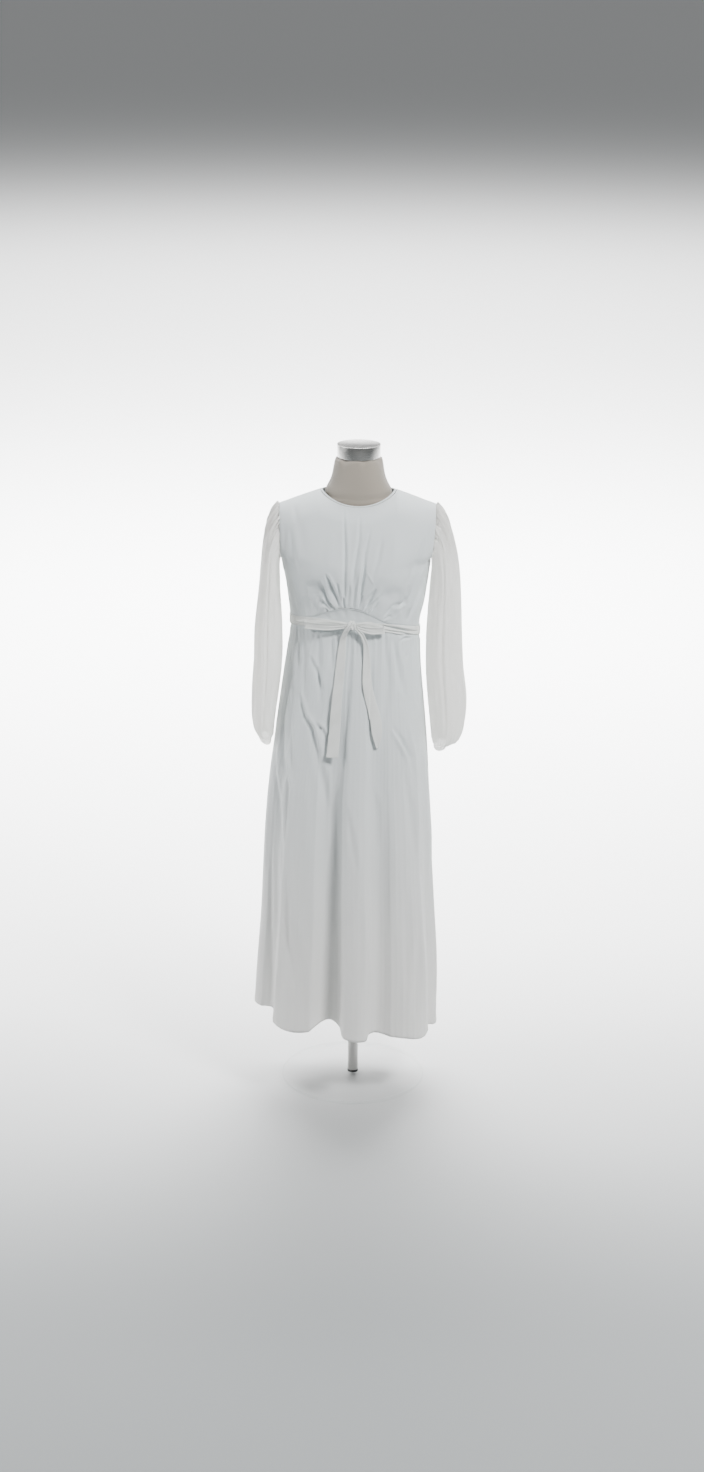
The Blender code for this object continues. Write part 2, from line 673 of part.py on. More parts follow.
def belt_surface(x, height, away):
    """Point on the front of the waist at a distance x, moved out of the outline by away."""
    left, right, front = table_at(BODICE_SECTIONS, height)[:3]
    half = (left + right) / 2
    across = (x - (right - left) / 2) / half
    point = body_point(across, height, -1)
    outward = Vector((across * front, -math.sqrt(1.0 - across * across) * half, 0.0)).normalized()
    return point + outward * away


def make_belt():
    """Belt round the waist, over the waist panel."""
    away = BELT_CLOTH + SEAM * 1.5

    def place(u, v):
        angle = (u - 0.5) * 2 * math.pi
        face = -1 if math.cos(angle) >= 0 else 1
        across = math.sin(angle)
        level = waist_height(across, face) + blend(-BELT_HALF_HEIGHT, BELT_HALF_HEIGHT, v)
        point = body_point(across, level, face)
        depth = table_at(BODICE_SECTIONS, level)[2 if face < 0 else 3]
        point += Vector((across * depth, -math.cos(angle) * WAIST_HALF_WIDTH, 0.0)).normalized() * away
        point.y += face * SEAM / 2
        return point

    make_sheet("belt", 48, 1, place, BELT_CLOTH, COTTON, Vector((0.0, 0.0, WAIST_HEIGHT)), closed=True)


def knot_place():
    """Centre of the knot, clear of the belt behind it."""
    level = waist_height(KNOT_CENTRE / WAIST_HALF_WIDTH, -1)
    surface = belt_surface(KNOT_CENTRE, level, BELT_CLOTH + SEAM + KNOT_CLEARANCE)
    return surface + Vector((0.0, -KNOT_SIZE[1] / 2, 0.0))


def make_knot():
    """The knot, a small soft block with rounded edges."""
    bm = bmesh.new()
    bmesh.ops.create_cube(bm, size=1.0)
    bmesh.ops.scale(bm, vec=KNOT_SIZE, verts=bm.verts[:])
    bmesh.ops.bevel(
        bm, geom=bm.edges[:], offset=KNOT_ROUNDING, segments=2, profile=0.5,
        affect="EDGES", offset_type="OFFSET", material=-1,
    )
    bmesh.ops.translate(bm, vec=knot_place(), verts=bm.verts[:])
    mesh = bpy.data.meshes.new("bow_knot")
    bm.to_mesh(mesh)
    bm.free()
    add_object("bow_knot", mesh, COTTON)


def make_loops():
    """The two loops of the bow: a ribbon that leaves the knot and comes back behind itself."""
    for name, (reach, thick, rise) in (("left", LEFT_LOOP), ("right", RIGHT_LOOP)):
        side = math.copysign(1.0, reach)
        start = KNOT_CENTRE + side * (KNOT_SIZE[0] / 2 + SEAM)

        def place(u, v, reach=reach, thick=thick, rise=rise, start=start, side=side):
            bend = (u - LOOP_STRAIGHT) / (1.0 - 2 * LOOP_STRAIGHT)
            turn = math.pi * min(max(bend, 0.0), 1.0)
            straight = min(u, 1.0 - u, LOOP_STRAIGHT) / LOOP_STRAIGHT
            opened = smoothstep(straight * LOOP_WIDENING)
            spread = thick * blend(LOOP_ROOT_SHARE, 1.0, opened)
            x = start + (reach - side * thick) * straight + side * thick * math.sin(turn)
            width = blend(LOOP_ROOT_WIDTH, LOOP_WIDTH, opened)
            level = waist_height(x / WAIST_HALF_WIDTH, -1) + rise * straight + (v - 0.5) * width
            point = belt_surface(x, level, LOOP_AWAY + spread * math.cos(turn))
            point.x = blend(x, point.x, straight)
            return point

        inside = belt_surface(start + reach / 2, waist_height(start / WAIST_HALF_WIDTH, -1), LOOP_AWAY)
        make_sheet("bow_loop_" + name, 20, 2, place, CLOTH, COTTON, inside)


def make_tails():
    """The free ends of the belt, which leave the knot and lie down the front of the skirt."""
    top = knot_place().z - KNOT_SIZE[2] / 2 - SEAM
    for name, rows in (("left", LEFT_TAIL_ROWS), ("right", RIGHT_TAIL_ROWS)):
        def place(u, v, rows=rows):
            height = blend(top, rows[0][0], v)
            middle, width, away = table_at(rows, height)
            x = middle + (u - 0.5) * width
            left, right = table_at(SKIRT_SECTIONS, height)[:2]
            angle = math.degrees(math.asin((x - (right - left) / 2) / ((left + right) / 2)))
            return skirt_point(angle, height, -1, valleys=False, away=away)

        make_sheet("belt_tail_" + name, 2, 14, place, CLOTH, COTTON, Vector((0.0, 0.0, 1.0)))


def cloth_depth(x, height, face):
    """Depth of the bodice's outer face over the form, at a distance from the centre plane."""
    left, right, front, back, arm = table_at(BODICE_SECTIONS, min(height, SHOULDER_TIP_HEIGHT))
    across = min(max((x - (right - left) / 2) / ((left + right) / 2), -1.0), 1.0)
    full = abs(body_point(across, height, face).y)
    if abs(x) < NECK_HALF_WIDTH:
        angle = math.asin(x / NECK_HALF_WIDTH)
        edge = neck_edge(angle if face < 0 else math.pi - angle)
        last_turn = math.acos(min(abs(edge.y) / full, 1.0))
        top = edge.z
        if height >= top:
            return abs(edge.y) - BINDING_LEAN[1] * BINDING_WIDTH
    else:
        last_turn = math.pi / 2
        top = shoulder_height(x)
    level = top - SHOULDER_ROUNDING * math.sin(last_turn)
    rise = min(max((height - level) / SHOULDER_ROUNDING, 0.0), 1.0)
    return full * math.sqrt(1.0 - rise * rise)


def form_section(height):
    """Half width and depths of the dress form, which follows the shoulder seam under the dress."""
    low_end = FORM_SECTIONS[-1][0]
    high_start = FORM_NECK_SECTIONS[0][0]
    if height <= low_end:
        return table_at(FORM_SECTIONS, height)
    if height >= high_start:
        return table_at(FORM_NECK_SECTIONS, height)
    share = (height - low_end) / (high_start - low_end)
    front = blend(FORM_SECTIONS[-1][2], FORM_NECK_SECTIONS[0][2], smoothstep(share))
    back = blend(FORM_SECTIONS[-1][3], FORM_NECK_SECTIONS[0][3], smoothstep(share))
    tip = shoulder_height(FORM_SHOULDER) - SHOULDER_REST
    slope = (FORM_NECK_ROOT[1] - tip) / (FORM_SHOULDER - FORM_NECK_ROOT[0])
    rest = FORM_SHOULDER - (height - tip) / slope
    return [min(rest, blend(FORM_SECTIONS[-1][1], FORM_SHOULDER, min(share * 2, 1.0))), front, back]


def make_form():
    """Torso of the dress form, from the hips to the neck, one smooth closed body."""
    levels = sorted(FORM_LEVELS + [shoulder_height(FORM_SHOULDER) - SHOULDER_REST])

    def place(u, v):
        row = round(v * (len(levels) - 1))
        half, front, back = form_section(levels[row])
        if row == 0:
            half, front, back = (size - FORM_FOOT_ROUNDING for size in (half, front, back))
        angle = u * 2 * math.pi
        face = -1 if math.cos(angle) > 0 else 1
        depth = (front if face < 0 else back) * abs(math.cos(angle))
        x = half * math.sin(angle)
        if FORM_SECTIONS[-3][0] < levels[row] < NECK_HEIGHT:
            lift = FORM_LIFT * (1.0 - smoothstep((abs(x) - FORM_NECK_ROOT[0]) / FORM_LIFT_REACH))
            limit = cloth_depth(x, levels[row] + lift, face) - FORM_CLEARANCE
            depth = max(min(depth, limit), FORM_LEAST_DEPTH * depth)
        return Vector((x, face * depth, levels[row]))

    make_sheet(
        "form_torso", FORM_SEGMENTS, len(levels) - 1, place, 0.0, LINEN,
        Vector((0.0, 0.0, WAIST_HEIGHT)), closed=True, ends=True,
    )


def make_stand():
    """Neck cap, pole, its dark foot and the clear base plate."""
    low = NECK_TOP + SEAM
    top = low + CAP_HEIGHT
    lip = CAP_RADIUS + CAP_LIP
    cap = [
        (0.0, top), (lip - CAP_EDGE, top), (lip, top - CAP_EDGE),
        (lip, top - CAP_LIP_HEIGHT), (CAP_RADIUS, top - CAP_LIP_HEIGHT - CAP_LIP),
        (CAP_RADIUS, low + CAP_EDGE), (CAP_RADIUS - CAP_EDGE, low), (0.0, low),
    ]
    make_turned("form_neck_cap", cap, 28, STEEL)
    foot_low = BASE_THICKNESS + SEAM
    foot_top = foot_low + FOOT_HEIGHT
    pole_low = foot_top + SEAM
    pole_top = FORM_SECTIONS[0][0] - SEAM
    pole = [(0.0, pole_top), (POLE_RADIUS, pole_top), (POLE_RADIUS, pole_low), (0.0, pole_low)]
    make_turned("form_pole", pole, 24, STEEL)
    foot = [
        (0.0, foot_top), (FOOT_RADIUS - FOOT_BEVEL, foot_top), (FOOT_RADIUS, foot_top - FOOT_BEVEL),
        (FOOT_RADIUS, foot_low), (0.0, foot_low),
    ]
    make_turned("form_pole_foot", foot, 24, DARK)
    base = [
        (0.0, BASE_THICKNESS), (BASE_RADIUS - BASE_BEVEL, BASE_THICKNESS),
        (BASE_RADIUS, BASE_THICKNESS - BASE_BEVEL), (BASE_RADIUS, BASE_BEVEL),
        (BASE_RADIUS - BASE_BEVEL, 0.0), (0.0, 0.0),
    ]
    make_turned("form_base", base, 36, GLASS)


for old in list(bpy.data.objects):
    bpy.data.objects.remove(old)

DRESS = make_collection("midi_dress_on_form")
COTTON = make_material("white_cotton", (0.86, 0.87, 0.88), 0.85)
LINEN = make_material("form_linen", (0.50, 0.46, 0.40), 0.9)
STEEL = make_material("brushed_steel", (0.62, 0.61, 0.60), 0.3, metallic=1.0)
DARK = make_material("dark_rubber", (0.03, 0.03, 0.03), 0.6)
GLASS = make_material("clear_glass", (0.95, 0.97, 0.97), 0.05, transmission=1.0)

make_form()
make_stand()
make_bodice()
make_binding()
make_waist()
make_skirt()
make_sleeves()
make_belt()
make_knot()
make_loops()
make_tails()
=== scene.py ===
"""Looks of a white cotton midi dress with gathered sleeves and a tied belt, on a limbless dress form.

Metres, +Z up. The front faces -Y and the wearer's right is at -X. Each cloth piece is a thin shell on the
form of its solid, with the creases of the worn dress, and the dress form's pieces are finer bodies in
place of their solids. A point of a cloth piece is given by two shares, across and along, each 0 to 1.
"""
import logging
import math
from dataclasses import dataclass
from enum import Enum
from typing import Callable, Optional, Sequence

import bmesh
import bpy
import numpy as np
from mathutils import Matrix, Vector

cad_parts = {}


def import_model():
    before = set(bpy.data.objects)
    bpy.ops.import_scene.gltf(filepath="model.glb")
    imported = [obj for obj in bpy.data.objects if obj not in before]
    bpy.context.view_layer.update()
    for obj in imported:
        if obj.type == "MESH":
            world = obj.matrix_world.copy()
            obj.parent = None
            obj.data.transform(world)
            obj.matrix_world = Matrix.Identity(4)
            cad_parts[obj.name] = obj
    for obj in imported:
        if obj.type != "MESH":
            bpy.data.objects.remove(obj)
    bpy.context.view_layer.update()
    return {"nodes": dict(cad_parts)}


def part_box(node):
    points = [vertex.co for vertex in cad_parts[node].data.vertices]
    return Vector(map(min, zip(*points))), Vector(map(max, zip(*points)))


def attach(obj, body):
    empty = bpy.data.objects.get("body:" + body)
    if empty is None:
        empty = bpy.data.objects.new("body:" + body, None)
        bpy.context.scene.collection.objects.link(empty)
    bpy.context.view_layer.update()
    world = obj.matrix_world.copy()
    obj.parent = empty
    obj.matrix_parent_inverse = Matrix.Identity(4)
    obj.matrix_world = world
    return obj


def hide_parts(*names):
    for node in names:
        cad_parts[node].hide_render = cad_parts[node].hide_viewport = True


LOG = logging.getLogger("midi_dress")
Array = np.ndarray
BMesh = bmesh.types.BMesh
Material = bpy.types.Material
Pair = tuple[float, float]
Triple = tuple[float, float, float]
Colour = Triple
Rows = Sequence[Sequence[float]]

BODY = "root"
WHITE = "white_cotton"
SHEER = "sleeve_cotton"
SEAM = 0.0003
# Points nearer than this are made one
MERGE = 0.00001


class Face(Enum):
    """The two faces of a panel pair, as the sign of their Y."""

    FRONT = -1
    BACK = 1


class Side(Enum):
    """The two sides as the photo shows them, as the sign of their X."""

    LEFT = -1
    RIGHT = 1

    @property
    def word(self) -> str:
        """The side's word in a piece's name."""
        return self.name.lower()


class Held(Enum):
    """How a cloth piece is held, in the words of the sheet table."""

    HUNG = "hung"
    GATHERED = "gathered"
    STRETCHED = "stretched"
    FOLDED = "folded"


class SectionTable:
    """A smooth curve through the rows of a table whose first column is the key."""

    def __init__(self, rows: Rows) -> None:
        """Keep the rows and the slope at each of them.

        Args:
            rows: key and values of each row, with rising keys.
        """
        table = np.array(rows, float)
        self.keys = table[:, 0]
        self.values = table[:, 1:]
        last = len(table) - 1
        before = [max(i - 1, 0) for i in range(last + 1)]
        after = [min(i + 1, last) for i in range(last + 1)]
        spans = (self.keys[after] - self.keys[before])[:, None]
        self.slopes = (self.values[after] - self.values[before]) / spans

    def at(self, key: Array) -> list[Array]:
        """Values at some keys.

        Args:
            key: keys, held within the table.

        Returns:
            One array for each column after the key.
        """
        key = np.clip(np.asarray(key, float), self.keys[0], self.keys[-1])
        index = np.clip(np.searchsorted(self.keys, key, side="right") - 1, 0, len(self.keys) - 2)
        span = self.keys[index + 1] - self.keys[index]
        t = (key - self.keys[index]) / span
        weights = (
            2 * t**3 - 3 * t**2 + 1,
            (t**3 - 2 * t**2 + t) * span,
            3 * t**2 - 2 * t**3,
            (t**3 - t**2) * span,
        )
        columns = []
        for column in range(self.values.shape[1]):
            parts = (
                self.values[index, column],
                self.slopes[index, column],
                self.values[index + 1, column],
                self.slopes[index + 1, column],
            )
            columns.append(sum(weight * part for weight, part in zip(weights, parts)))
        return columns


def smoothstep(value: Array) -> Array:
    """0 to 1 with level ends."""
    value = np.clip(value, 0.0, 1.0)
    return value * value * (3.0 - 2.0 * value)


def bump(distance: Array, half_width: float) -> Array:
    """1 at the middle and 0 past the half width, with level ends."""
    share = np.clip(np.abs(distance) / half_width, 0.0, 1.0)
    return 0.5 + 0.5 * np.cos(np.pi * share)


def bell(distance: Array, width: float) -> Array:
    """1 at the middle, falling off on both sides as a bell curve of that width."""
    return np.exp(-((distance / width) ** 2))


def from_end(share: Array) -> Array:
    """How far a share of 0 to 1 is from the nearer end."""
    return np.minimum(share, 1.0 - share)


def share_to_x(share: Array, left: Array, right: Array) -> Array:
    """X at a share of -1 to 1 across a section that reaches left and right of the centre plane."""
    return (right - left) / 2 + share * (left + right) / 2


def x_to_share(x: Array, left: Array, right: Array) -> Array:
    """Share of -1 to 1 at an X across such a section."""
    return (x - (right - left) / 2) / ((left + right) / 2)


def blend(start: Array, end: Array, share: Array) -> Array:
    """A value or point part of the way from start to end."""
    return start + (end - start) * share


def points(x: Array, y: Array, z: Array) -> Array:
    """Rows of x, y and z."""
    return np.stack(np.broadcast_arrays(x, y, z), axis=1).astype(float)


def unit(vectors: Array) -> Array:
    """Rows brought to a length of one."""
    return vectors / np.maximum(np.linalg.norm(vectors, axis=1, keepdims=True), 1e-12)


def ripples(rows: Rows, first: Array, second: Array) -> Array:
    """Sum of slow waves, from rows of height, turn per unit of first and of second, and phase."""
    return sum(height * np.sin(one * first + two * second + phase) for height, one, two, phase in rows)


@dataclass(frozen=True)
class Crease:
    """A soft ridge, or a trough where height is below zero, along a line on a panel.

    The line is in the panel's own two measures, in metres. lean sharpens one side of the crease and
    raises a low ridge along the other, as a pressed or pulled fold has.
    """

    line: tuple[Pair, ...]
    half_width: float
    height: float
    lean: float = 0.0

    REACH = 4.0
    TAPER_POWER = 0.7
    END_WIDTH = 0.55
    SHOULDER_PLACE = 1.5
    SHOULDER_WIDTH = 1.1

    def out(self, across: Array, along: Array) -> Array:
        """How far the crease moves the cloth out.

        Args:
            across: first measure of each point.
            along: second measure of each point.

        Returns:
            Distance outwards, below zero in a trough.
        """
        result = np.zeros(len(across))
        reach = self.half_width * self.REACH
        line = np.array(self.line, float)
        low, high = line.min(axis=0) - reach, line.max(axis=0) + reach
        near = (across > low[0]) & (across < high[0]) & (along > low[1]) & (along < high[1])
        if not near.any():
            return result
        spot = np.stack((across[near], along[near]), axis=1)
        steps = np.linalg.norm(np.diff(line, axis=0), axis=1)
        total = steps.sum()
        best = np.full(len(spot), 1e9)
        signed = np.zeros(len(spot))
        share = np.zeros(len(spot))
        gone = 0.0
        for start, end, step in zip(line[:-1], line[1:], steps):
            way = (end - start) / step
            t = np.clip((spot - start) @ way, 0.0, step)
            foot = start + t[:, None] * way
            away = spot - foot
            distance = np.linalg.norm(away, axis=1)
            side = np.sign(way[0] * away[:, 1] - way[1] * away[:, 0])
            closer = distance < best
            best = np.where(closer, distance, best)
            signed = np.where(closer, side * distance, signed)
            share = np.where(closer, (gone + t) / total, share)
            gone += step
        taper = np.sin(np.pi * np.clip(share, 0.0, 1.0)) ** self.TAPER_POWER
        width = self.half_width * (self.END_WIDTH + (1.0 - self.END_WIDTH) * taper)
        body = bell(best, width)
        past = signed * np.sign(self.lean or 1.0) - self.SHOULDER_PLACE * width
        shoulder = bell(past, self.SHOULDER_WIDTH * width)
        result[near] = self.height * taper * (body - abs(self.lean) * shoulder)
        return result


def creases(*rows: Sequence) -> tuple[Crease, ...]:
    """Creases from rows of half width, height, lean and the line's points, in millimetres but for lean.

    Args:
        rows: the rows, one for each crease.

    Returns:
        The creases, in metres.
    """
    return tuple(
        Crease(tuple((x / 1000, z / 1000) for x, z in line), half_width / 1000, height / 1000, lean)
        for half_width, height, lean, *line in rows
    )


def creases_out(made: Sequence[Crease], across: Array, along: Array) -> Array:
    """Sum of the creases of one panel.

    Args:
        made: the creases.
        across: first measure of each point.
        along: second measure.

    Returns:
        Distance outwards of each point.
    """
    total = np.zeros(len(across))
    for crease in made:
        total += crease.out(across, along)
    return total


def uneven_wave(along: Array, spacing: float, seed: float) -> Array:
    """A wave from 0 to 1 whose crests differ in spacing and height, as hand gathers do.

    Args:
        along: distance along the gathers.
        spacing: mean distance between crests.
        seed: phase of the unevenness.

    Returns:
        Height of each point.
    """
    turn = 2 * np.pi * along / spacing
    turn = turn + 0.9 * np.sin(turn * 0.37 + seed) + 0.6 * np.sin(turn * 0.173 + 2.1 * seed)
    height = 0.72 + 0.28 * np.sin(turn * 0.29 + 1.7 * seed)
    return height * (0.5 + 0.5 * np.cos(turn)) ** 0.8


class Sock:
    """An output socket, on which shader maths is written as Python expressions."""

    def __init__(self, bench: "NodeBench", socket: bpy.types.NodeSocket) -> None:
        """Wrap a socket of a bench's node tree."""
        self.bench = bench
        self.socket = socket

    def _with(self, operation: str, first: object, second: object = 0.0) -> "Sock":
        """A Math node on two values."""
        return self.bench.add("Math", {"operation": operation}, {0: first, 1: second})

    def __add__(self, other: object) -> "Sock":
        """self + other."""
        return self._with("ADD", self, other)

    __radd__ = __add__

    def __sub__(self, other: object) -> "Sock":
        """self - other."""
        return self._with("SUBTRACT", self, other)

    def __rsub__(self, other: object) -> "Sock":
        """other - self."""
        return self._with("SUBTRACT", other, self)

    def __mul__(self, other: object) -> "Sock":
        """self * other."""
        return self._with("MULTIPLY", self, other)

    __rmul__ = __mul__

    def __pow__(self, other: object) -> "Sock":
        """self ** other."""
        return self._with("POWER", self, other)

    def __abs__(self) -> "Sock":
        """Size without sign."""
        return self._with("ABSOLUTE", self)

    def sine(self) -> "Sock":
        """Sine of the value."""
        return self._with("SINE", self)

    def over(self, limit: float) -> "Sock":
        """1 where the value is over the limit, else 0."""
        return self._with("GREATER_THAN", self, limit)


class NodeBench:
    """Adds and links the nodes of one material."""

    COLOUR_RESULT = 2

    def __init__(self, name: str) -> None:
        """Start a material of that name with an empty node tree."""
        self.material = bpy.data.materials.new(name)
        self.material.use_nodes = True
        self.tree = self.material.node_tree
        self.tree.nodes.clear()

    def add(
        self,
        kind: str,
        settings: Optional[dict[str, object]] = None,
        inputs: Optional[dict[object, object]] = None,
        output: object = 0,
    ) -> Sock:
        """Add a node.

        Args:
            kind: the node's type, without its common first word.
            settings: its own settings, set first.
            inputs: socket name or number to a value or to another node's output.
            output: name or number of the output to hand back.

        Returns:
            The chosen output.
        """
        node = self.tree.nodes.new("ShaderNode" + kind)
        for key, value in (settings or {}).items():
            setattr(node, key, value)
        for key, value in (inputs or {}).items():
            if isinstance(value, Sock):
                self.tree.links.new(value.socket, node.inputs[key])
            else:
                node.inputs[key].default_value = value
        return Sock(self, node.outputs[output])

    def place(self) -> Sock:
        """Object coordinates."""
        return self.add("TexCoord", output="Object")

    def axes(self, vector: Sock) -> list[Sock]:
        """The three parts of a vector."""
        outputs = self.add("SeparateXYZ", None, {"Vector": vector}).socket.node.outputs
        return [Sock(self, outputs[way]) for way in "XYZ"]

    def noise(self, vector: Sock, scale: float = 1.0, detail: float = 3.0, **more: float) -> Sock:
        """Noise on a vector."""
        return self.add("TexNoise", None, {"Vector": vector, "Scale": scale, "Detail": detail, **more})

    def stretch(self, vector: Sock, scale: Triple) -> Sock:
        """A vector with each part scaled, for a grain that is drawn out."""
        return self.add("VectorMath", {"operation": "MULTIPLY"}, {0: vector, 1: scale})

    def relief(self, height: Sock, strength: float, distance: float) -> Sock:
        """Normal of a surface with fine relief."""
        inputs = {"Strength": strength, "Distance": distance, "Height": height}
        return self.add("Bump", None, inputs, "Normal")

    def mix(self, factor: Sock, first: object, second: object) -> Sock:
        """A colour between two."""
        inputs = {"Factor": factor, "A": first, "B": second}
        return self.add("Mix", {"data_type": "RGBA"}, inputs, self.COLOUR_RESULT)

    def ramp(self, value: Sock, start: float, end: float, first: float, last: float) -> Sock:
        """first up to start and last past end, with a smooth step between."""
        inputs = {"Value": value, "From Min": start, "From Max": end, "To Min": first, "To Max": last}
        return self.add("MapRange", {"interpolation_type": "SMOOTHSTEP"}, inputs)

    def skin(self, inputs: dict[str, object]) -> Sock:
        """The main surface shader."""
        return self.add("BsdfPrincipled", None, inputs)

    def finish(self, shader: Sock) -> Material:
        """Link the shader to the material's output.

        Args:
            shader: the last shader.

        Returns:
            The material.
        """
        output = self.tree.nodes.new("ShaderNodeOutputMaterial")
        self.tree.links.new(shader.socket, output.inputs["Surface"])
        return self.material


def tint(colour: Colour, share: float = 1.0) -> tuple[float, float, float, float]:
    """A colour with its alpha, scaled by a share."""
    return (colour[0] * share, colour[1] * share, colour[2] * share, 1.0)


@dataclass(frozen=True)
class CottonFinish:
    """Plain woven cotton: thread bump on the cloth's own cut, slubs, soft crumple, some sheerness and
    painted warm floor light towards the hem.
    """

    name: str
    colour: Colour
    shade: Colour
    # Warmer tint that the colour turns to towards the hem: painted warm light from the floor
    painted_floor_light: Colour
    sheer: float
    through: Colour
    alpha: float = 1.0
    thread: float = 0.0006
    relief: float = 0.00198
    crumple_scale: float = 26.0
    slub_grain: Triple = (900.0, 45.0, 1.0)
    # Heights of full and of no painted floor light
    painted_floor_light_levels: Pair = (0.15, 1.15)

    def make(self) -> Material:
        """Build the material.

        Returns:
            The material, which reads the UV map of the cut in metres and Object coordinates.
        """
        bench = NodeBench(self.name)
        cut = bench.add("UVMap", {"uv_map": "cut"})
        weft_way, warp_way, _ = bench.axes(cut)
        turn = 2 * math.pi / self.thread
        weave = 0.5 + 0.5 * ((weft_way * turn).sine() * (warp_way * turn).sine())
        slub = bench.noise(bench.stretch(cut, self.slub_grain), detail=2.0)
        place = bench.place()
        crumple = bench.noise(place, self.crumple_scale, Roughness=0.5, Distortion=0.4)
        cloud = bench.noise(place, 5.0, 2.0)
        normal = bench.relief(crumple * 0.80 + slub * 0.12 + weave * 0.08, 0.55, self.relief)
        cloth_tone = bench.mix(cloud * 0.8 + slub * 0.2, tint(self.shade), tint(self.colour))
        # Painted warm floor light: full at the lower height, gone at the upper
        low = bench.ramp(bench.axes(place)[2], *self.painted_floor_light_levels, 1.0, 0.0)
        body = bench.skin({
            "Base Color": bench.mix(low, cloth_tone, tint(self.painted_floor_light)), "Roughness": 0.80 + 0.12 * slub,
            "Normal": normal, "Sheen Weight": 0.10, "Sheen Roughness": 0.5, "Specular IOR Level": 0.25,
            "Alpha": self.alpha,
        })
        glow = bench.add("BsdfTranslucent", None, {"Color": tint(self.through)})
        return bench.finish(bench.add("MixShader", None, {0: self.sheer, 1: body, 2: glow}))


@dataclass(frozen=True)
class ThreadFinish:
    """White cotton sewing thread with a faint twist."""

    name: str = "white_thread"
    colour: Colour = (0.90, 0.90, 0.88)
    twist: float = 0.0004

    def make(self) -> Material:
        """Build the material on Object coordinates.

        Returns:
            The material.
        """
        bench = NodeBench(self.name)
        x, y, z = bench.axes(bench.place())
        strands = 0.5 + 0.5 * ((x + y + z) * (2 * math.pi / self.twist)).sine()
        mix = bench.mix(strands, tint(self.colour, 0.88), tint(self.colour))
        return bench.finish(bench.skin({"Base Color": mix, "Roughness": 0.5 + 0.15 * strands}))


@dataclass(frozen=True)
class CoverFinish:
    """Stretched jersey over the padded form: fine rib, pale fibres and a soft matt surface."""

    name: str = "form_linen"
    colour: Colour = (0.345, 0.307, 0.255)
    shade: Colour = (0.285, 0.253, 0.210)
    rib: float = 0.0011

    def make(self) -> Material:
        """Build the material on Object coordinates.

        Returns:
            The material.
        """
        bench = NodeBench(self.name)
        place = bench.place()
        x, y, z = bench.axes(place)
        turn = 2 * math.pi / self.rib
        rows = 0.5 + 0.5 * (z * turn).sine()
        columns = 0.5 + 0.5 * ((x * turn).sine() * (y * turn).sine())
        fibre = bench.noise(place, 420.0)
        cloud = bench.noise(place, 9.0, 2.0)
        normal = bench.relief(rows * 0.35 + columns * 0.25 + fibre * 0.4, 0.5, 0.0004)
        mix = bench.mix(fibre * 0.5 + cloud * 0.5, tint(self.shade), tint(self.colour))
        return bench.finish(bench.skin({
            "Base Color": mix, "Roughness": 0.85 + 0.1 * fibre, "Normal": normal, "Sheen Weight": 0.6,
        }))


class Brushing(Enum):
    """The way of the brush lines on a steel piece, as the grain's scale along X, Y and Z."""

    ROUND = (30.0, 30.0, 5200.0)
    LENGTHWISE = (2600.0, 2600.0, 14.0)


@dataclass(frozen=True)
class SteelFinish:
    """Brushed steel with fine lines and a few darker rubs."""

    name: str
    brushing: Brushing
    colour: Colour = (0.50, 0.495, 0.48)
    roughness: float = 0.19

    def make(self) -> Material:
        """Build the material on Object coordinates.

        Returns:
            The material.
        """
        bench = NodeBench(self.name)
        place = bench.place()
        lines = bench.noise(bench.stretch(place, self.brushing.value))
        rubs = bench.noise(place, 35.0)
        normal = bench.relief(lines, 0.25, 0.0001)
        mix = bench.mix(lines * 0.6 + rubs * 0.4, tint(self.colour, 0.84), tint(self.colour))
        rough = self.roughness + 0.10 * lines + 0.06 * rubs
        inputs = {"Base Color": mix, "Metallic": 1.0, "Roughness": rough, "Normal": normal}
        return bench.finish(bench.skin(inputs))


@dataclass(frozen=True)
class RubberFinish:
    """Dark matt rubber with a faint grain."""

    name: str = "dark_rubber"
    colour: Colour = (0.035, 0.035, 0.036)

    def make(self) -> Material:
        """Build the material on Object coordinates.

        Returns:
            The material.
        """
        bench = NodeBench(self.name)
        grain = bench.noise(bench.place(), 600.0, 2.0)
        normal = bench.relief(grain, 0.3, 0.0002)
        mix = bench.mix(grain, tint(self.colour, 0.7), tint(self.colour, 1.5))
        inputs = {"Base Color": mix, "Roughness": 0.55 + 0.2 * grain, "Normal": normal}
        return bench.finish(bench.skin(inputs))


@dataclass(frozen=True)
class GlassFinish:
    """Clear base plate: nearly invisible on its faces, with a faint green polished edge."""

    name: str = "clear_glass"
    rim_radius: float = 0.1735
    colour: Colour = (0.93, 0.95, 0.95)
    edge_colour: Colour = (0.72, 0.84, 0.80)

    def make(self) -> Material:
        """Build the material on Object coordinates.

        Returns:
            The material.
        """
        bench = NodeBench(self.name)
        place = bench.place()
        x, y, _ = bench.axes(place)
        edge = (x * x + y * y).over(self.rim_radius**2)
        mix = bench.mix(edge, tint(self.colour), tint(self.edge_colour))
        return bench.finish(bench.skin({
            "Base Color": mix, "Roughness": 0.04 + 0.05 * bench.noise(place, 18.0),
            "Alpha": 0.02 + 0.10 * edge, "IOR": 1.5,
        }))


@dataclass(frozen=True)
class Hang:
    """How one skirt panel hangs.

    folds are rows of angle, half width, height out of the cloth at the hem, level where the fold
    starts and roundness. hem is rows of angle and rise of the hem.
    """

    folds: Rows
    hem: Rows = ()


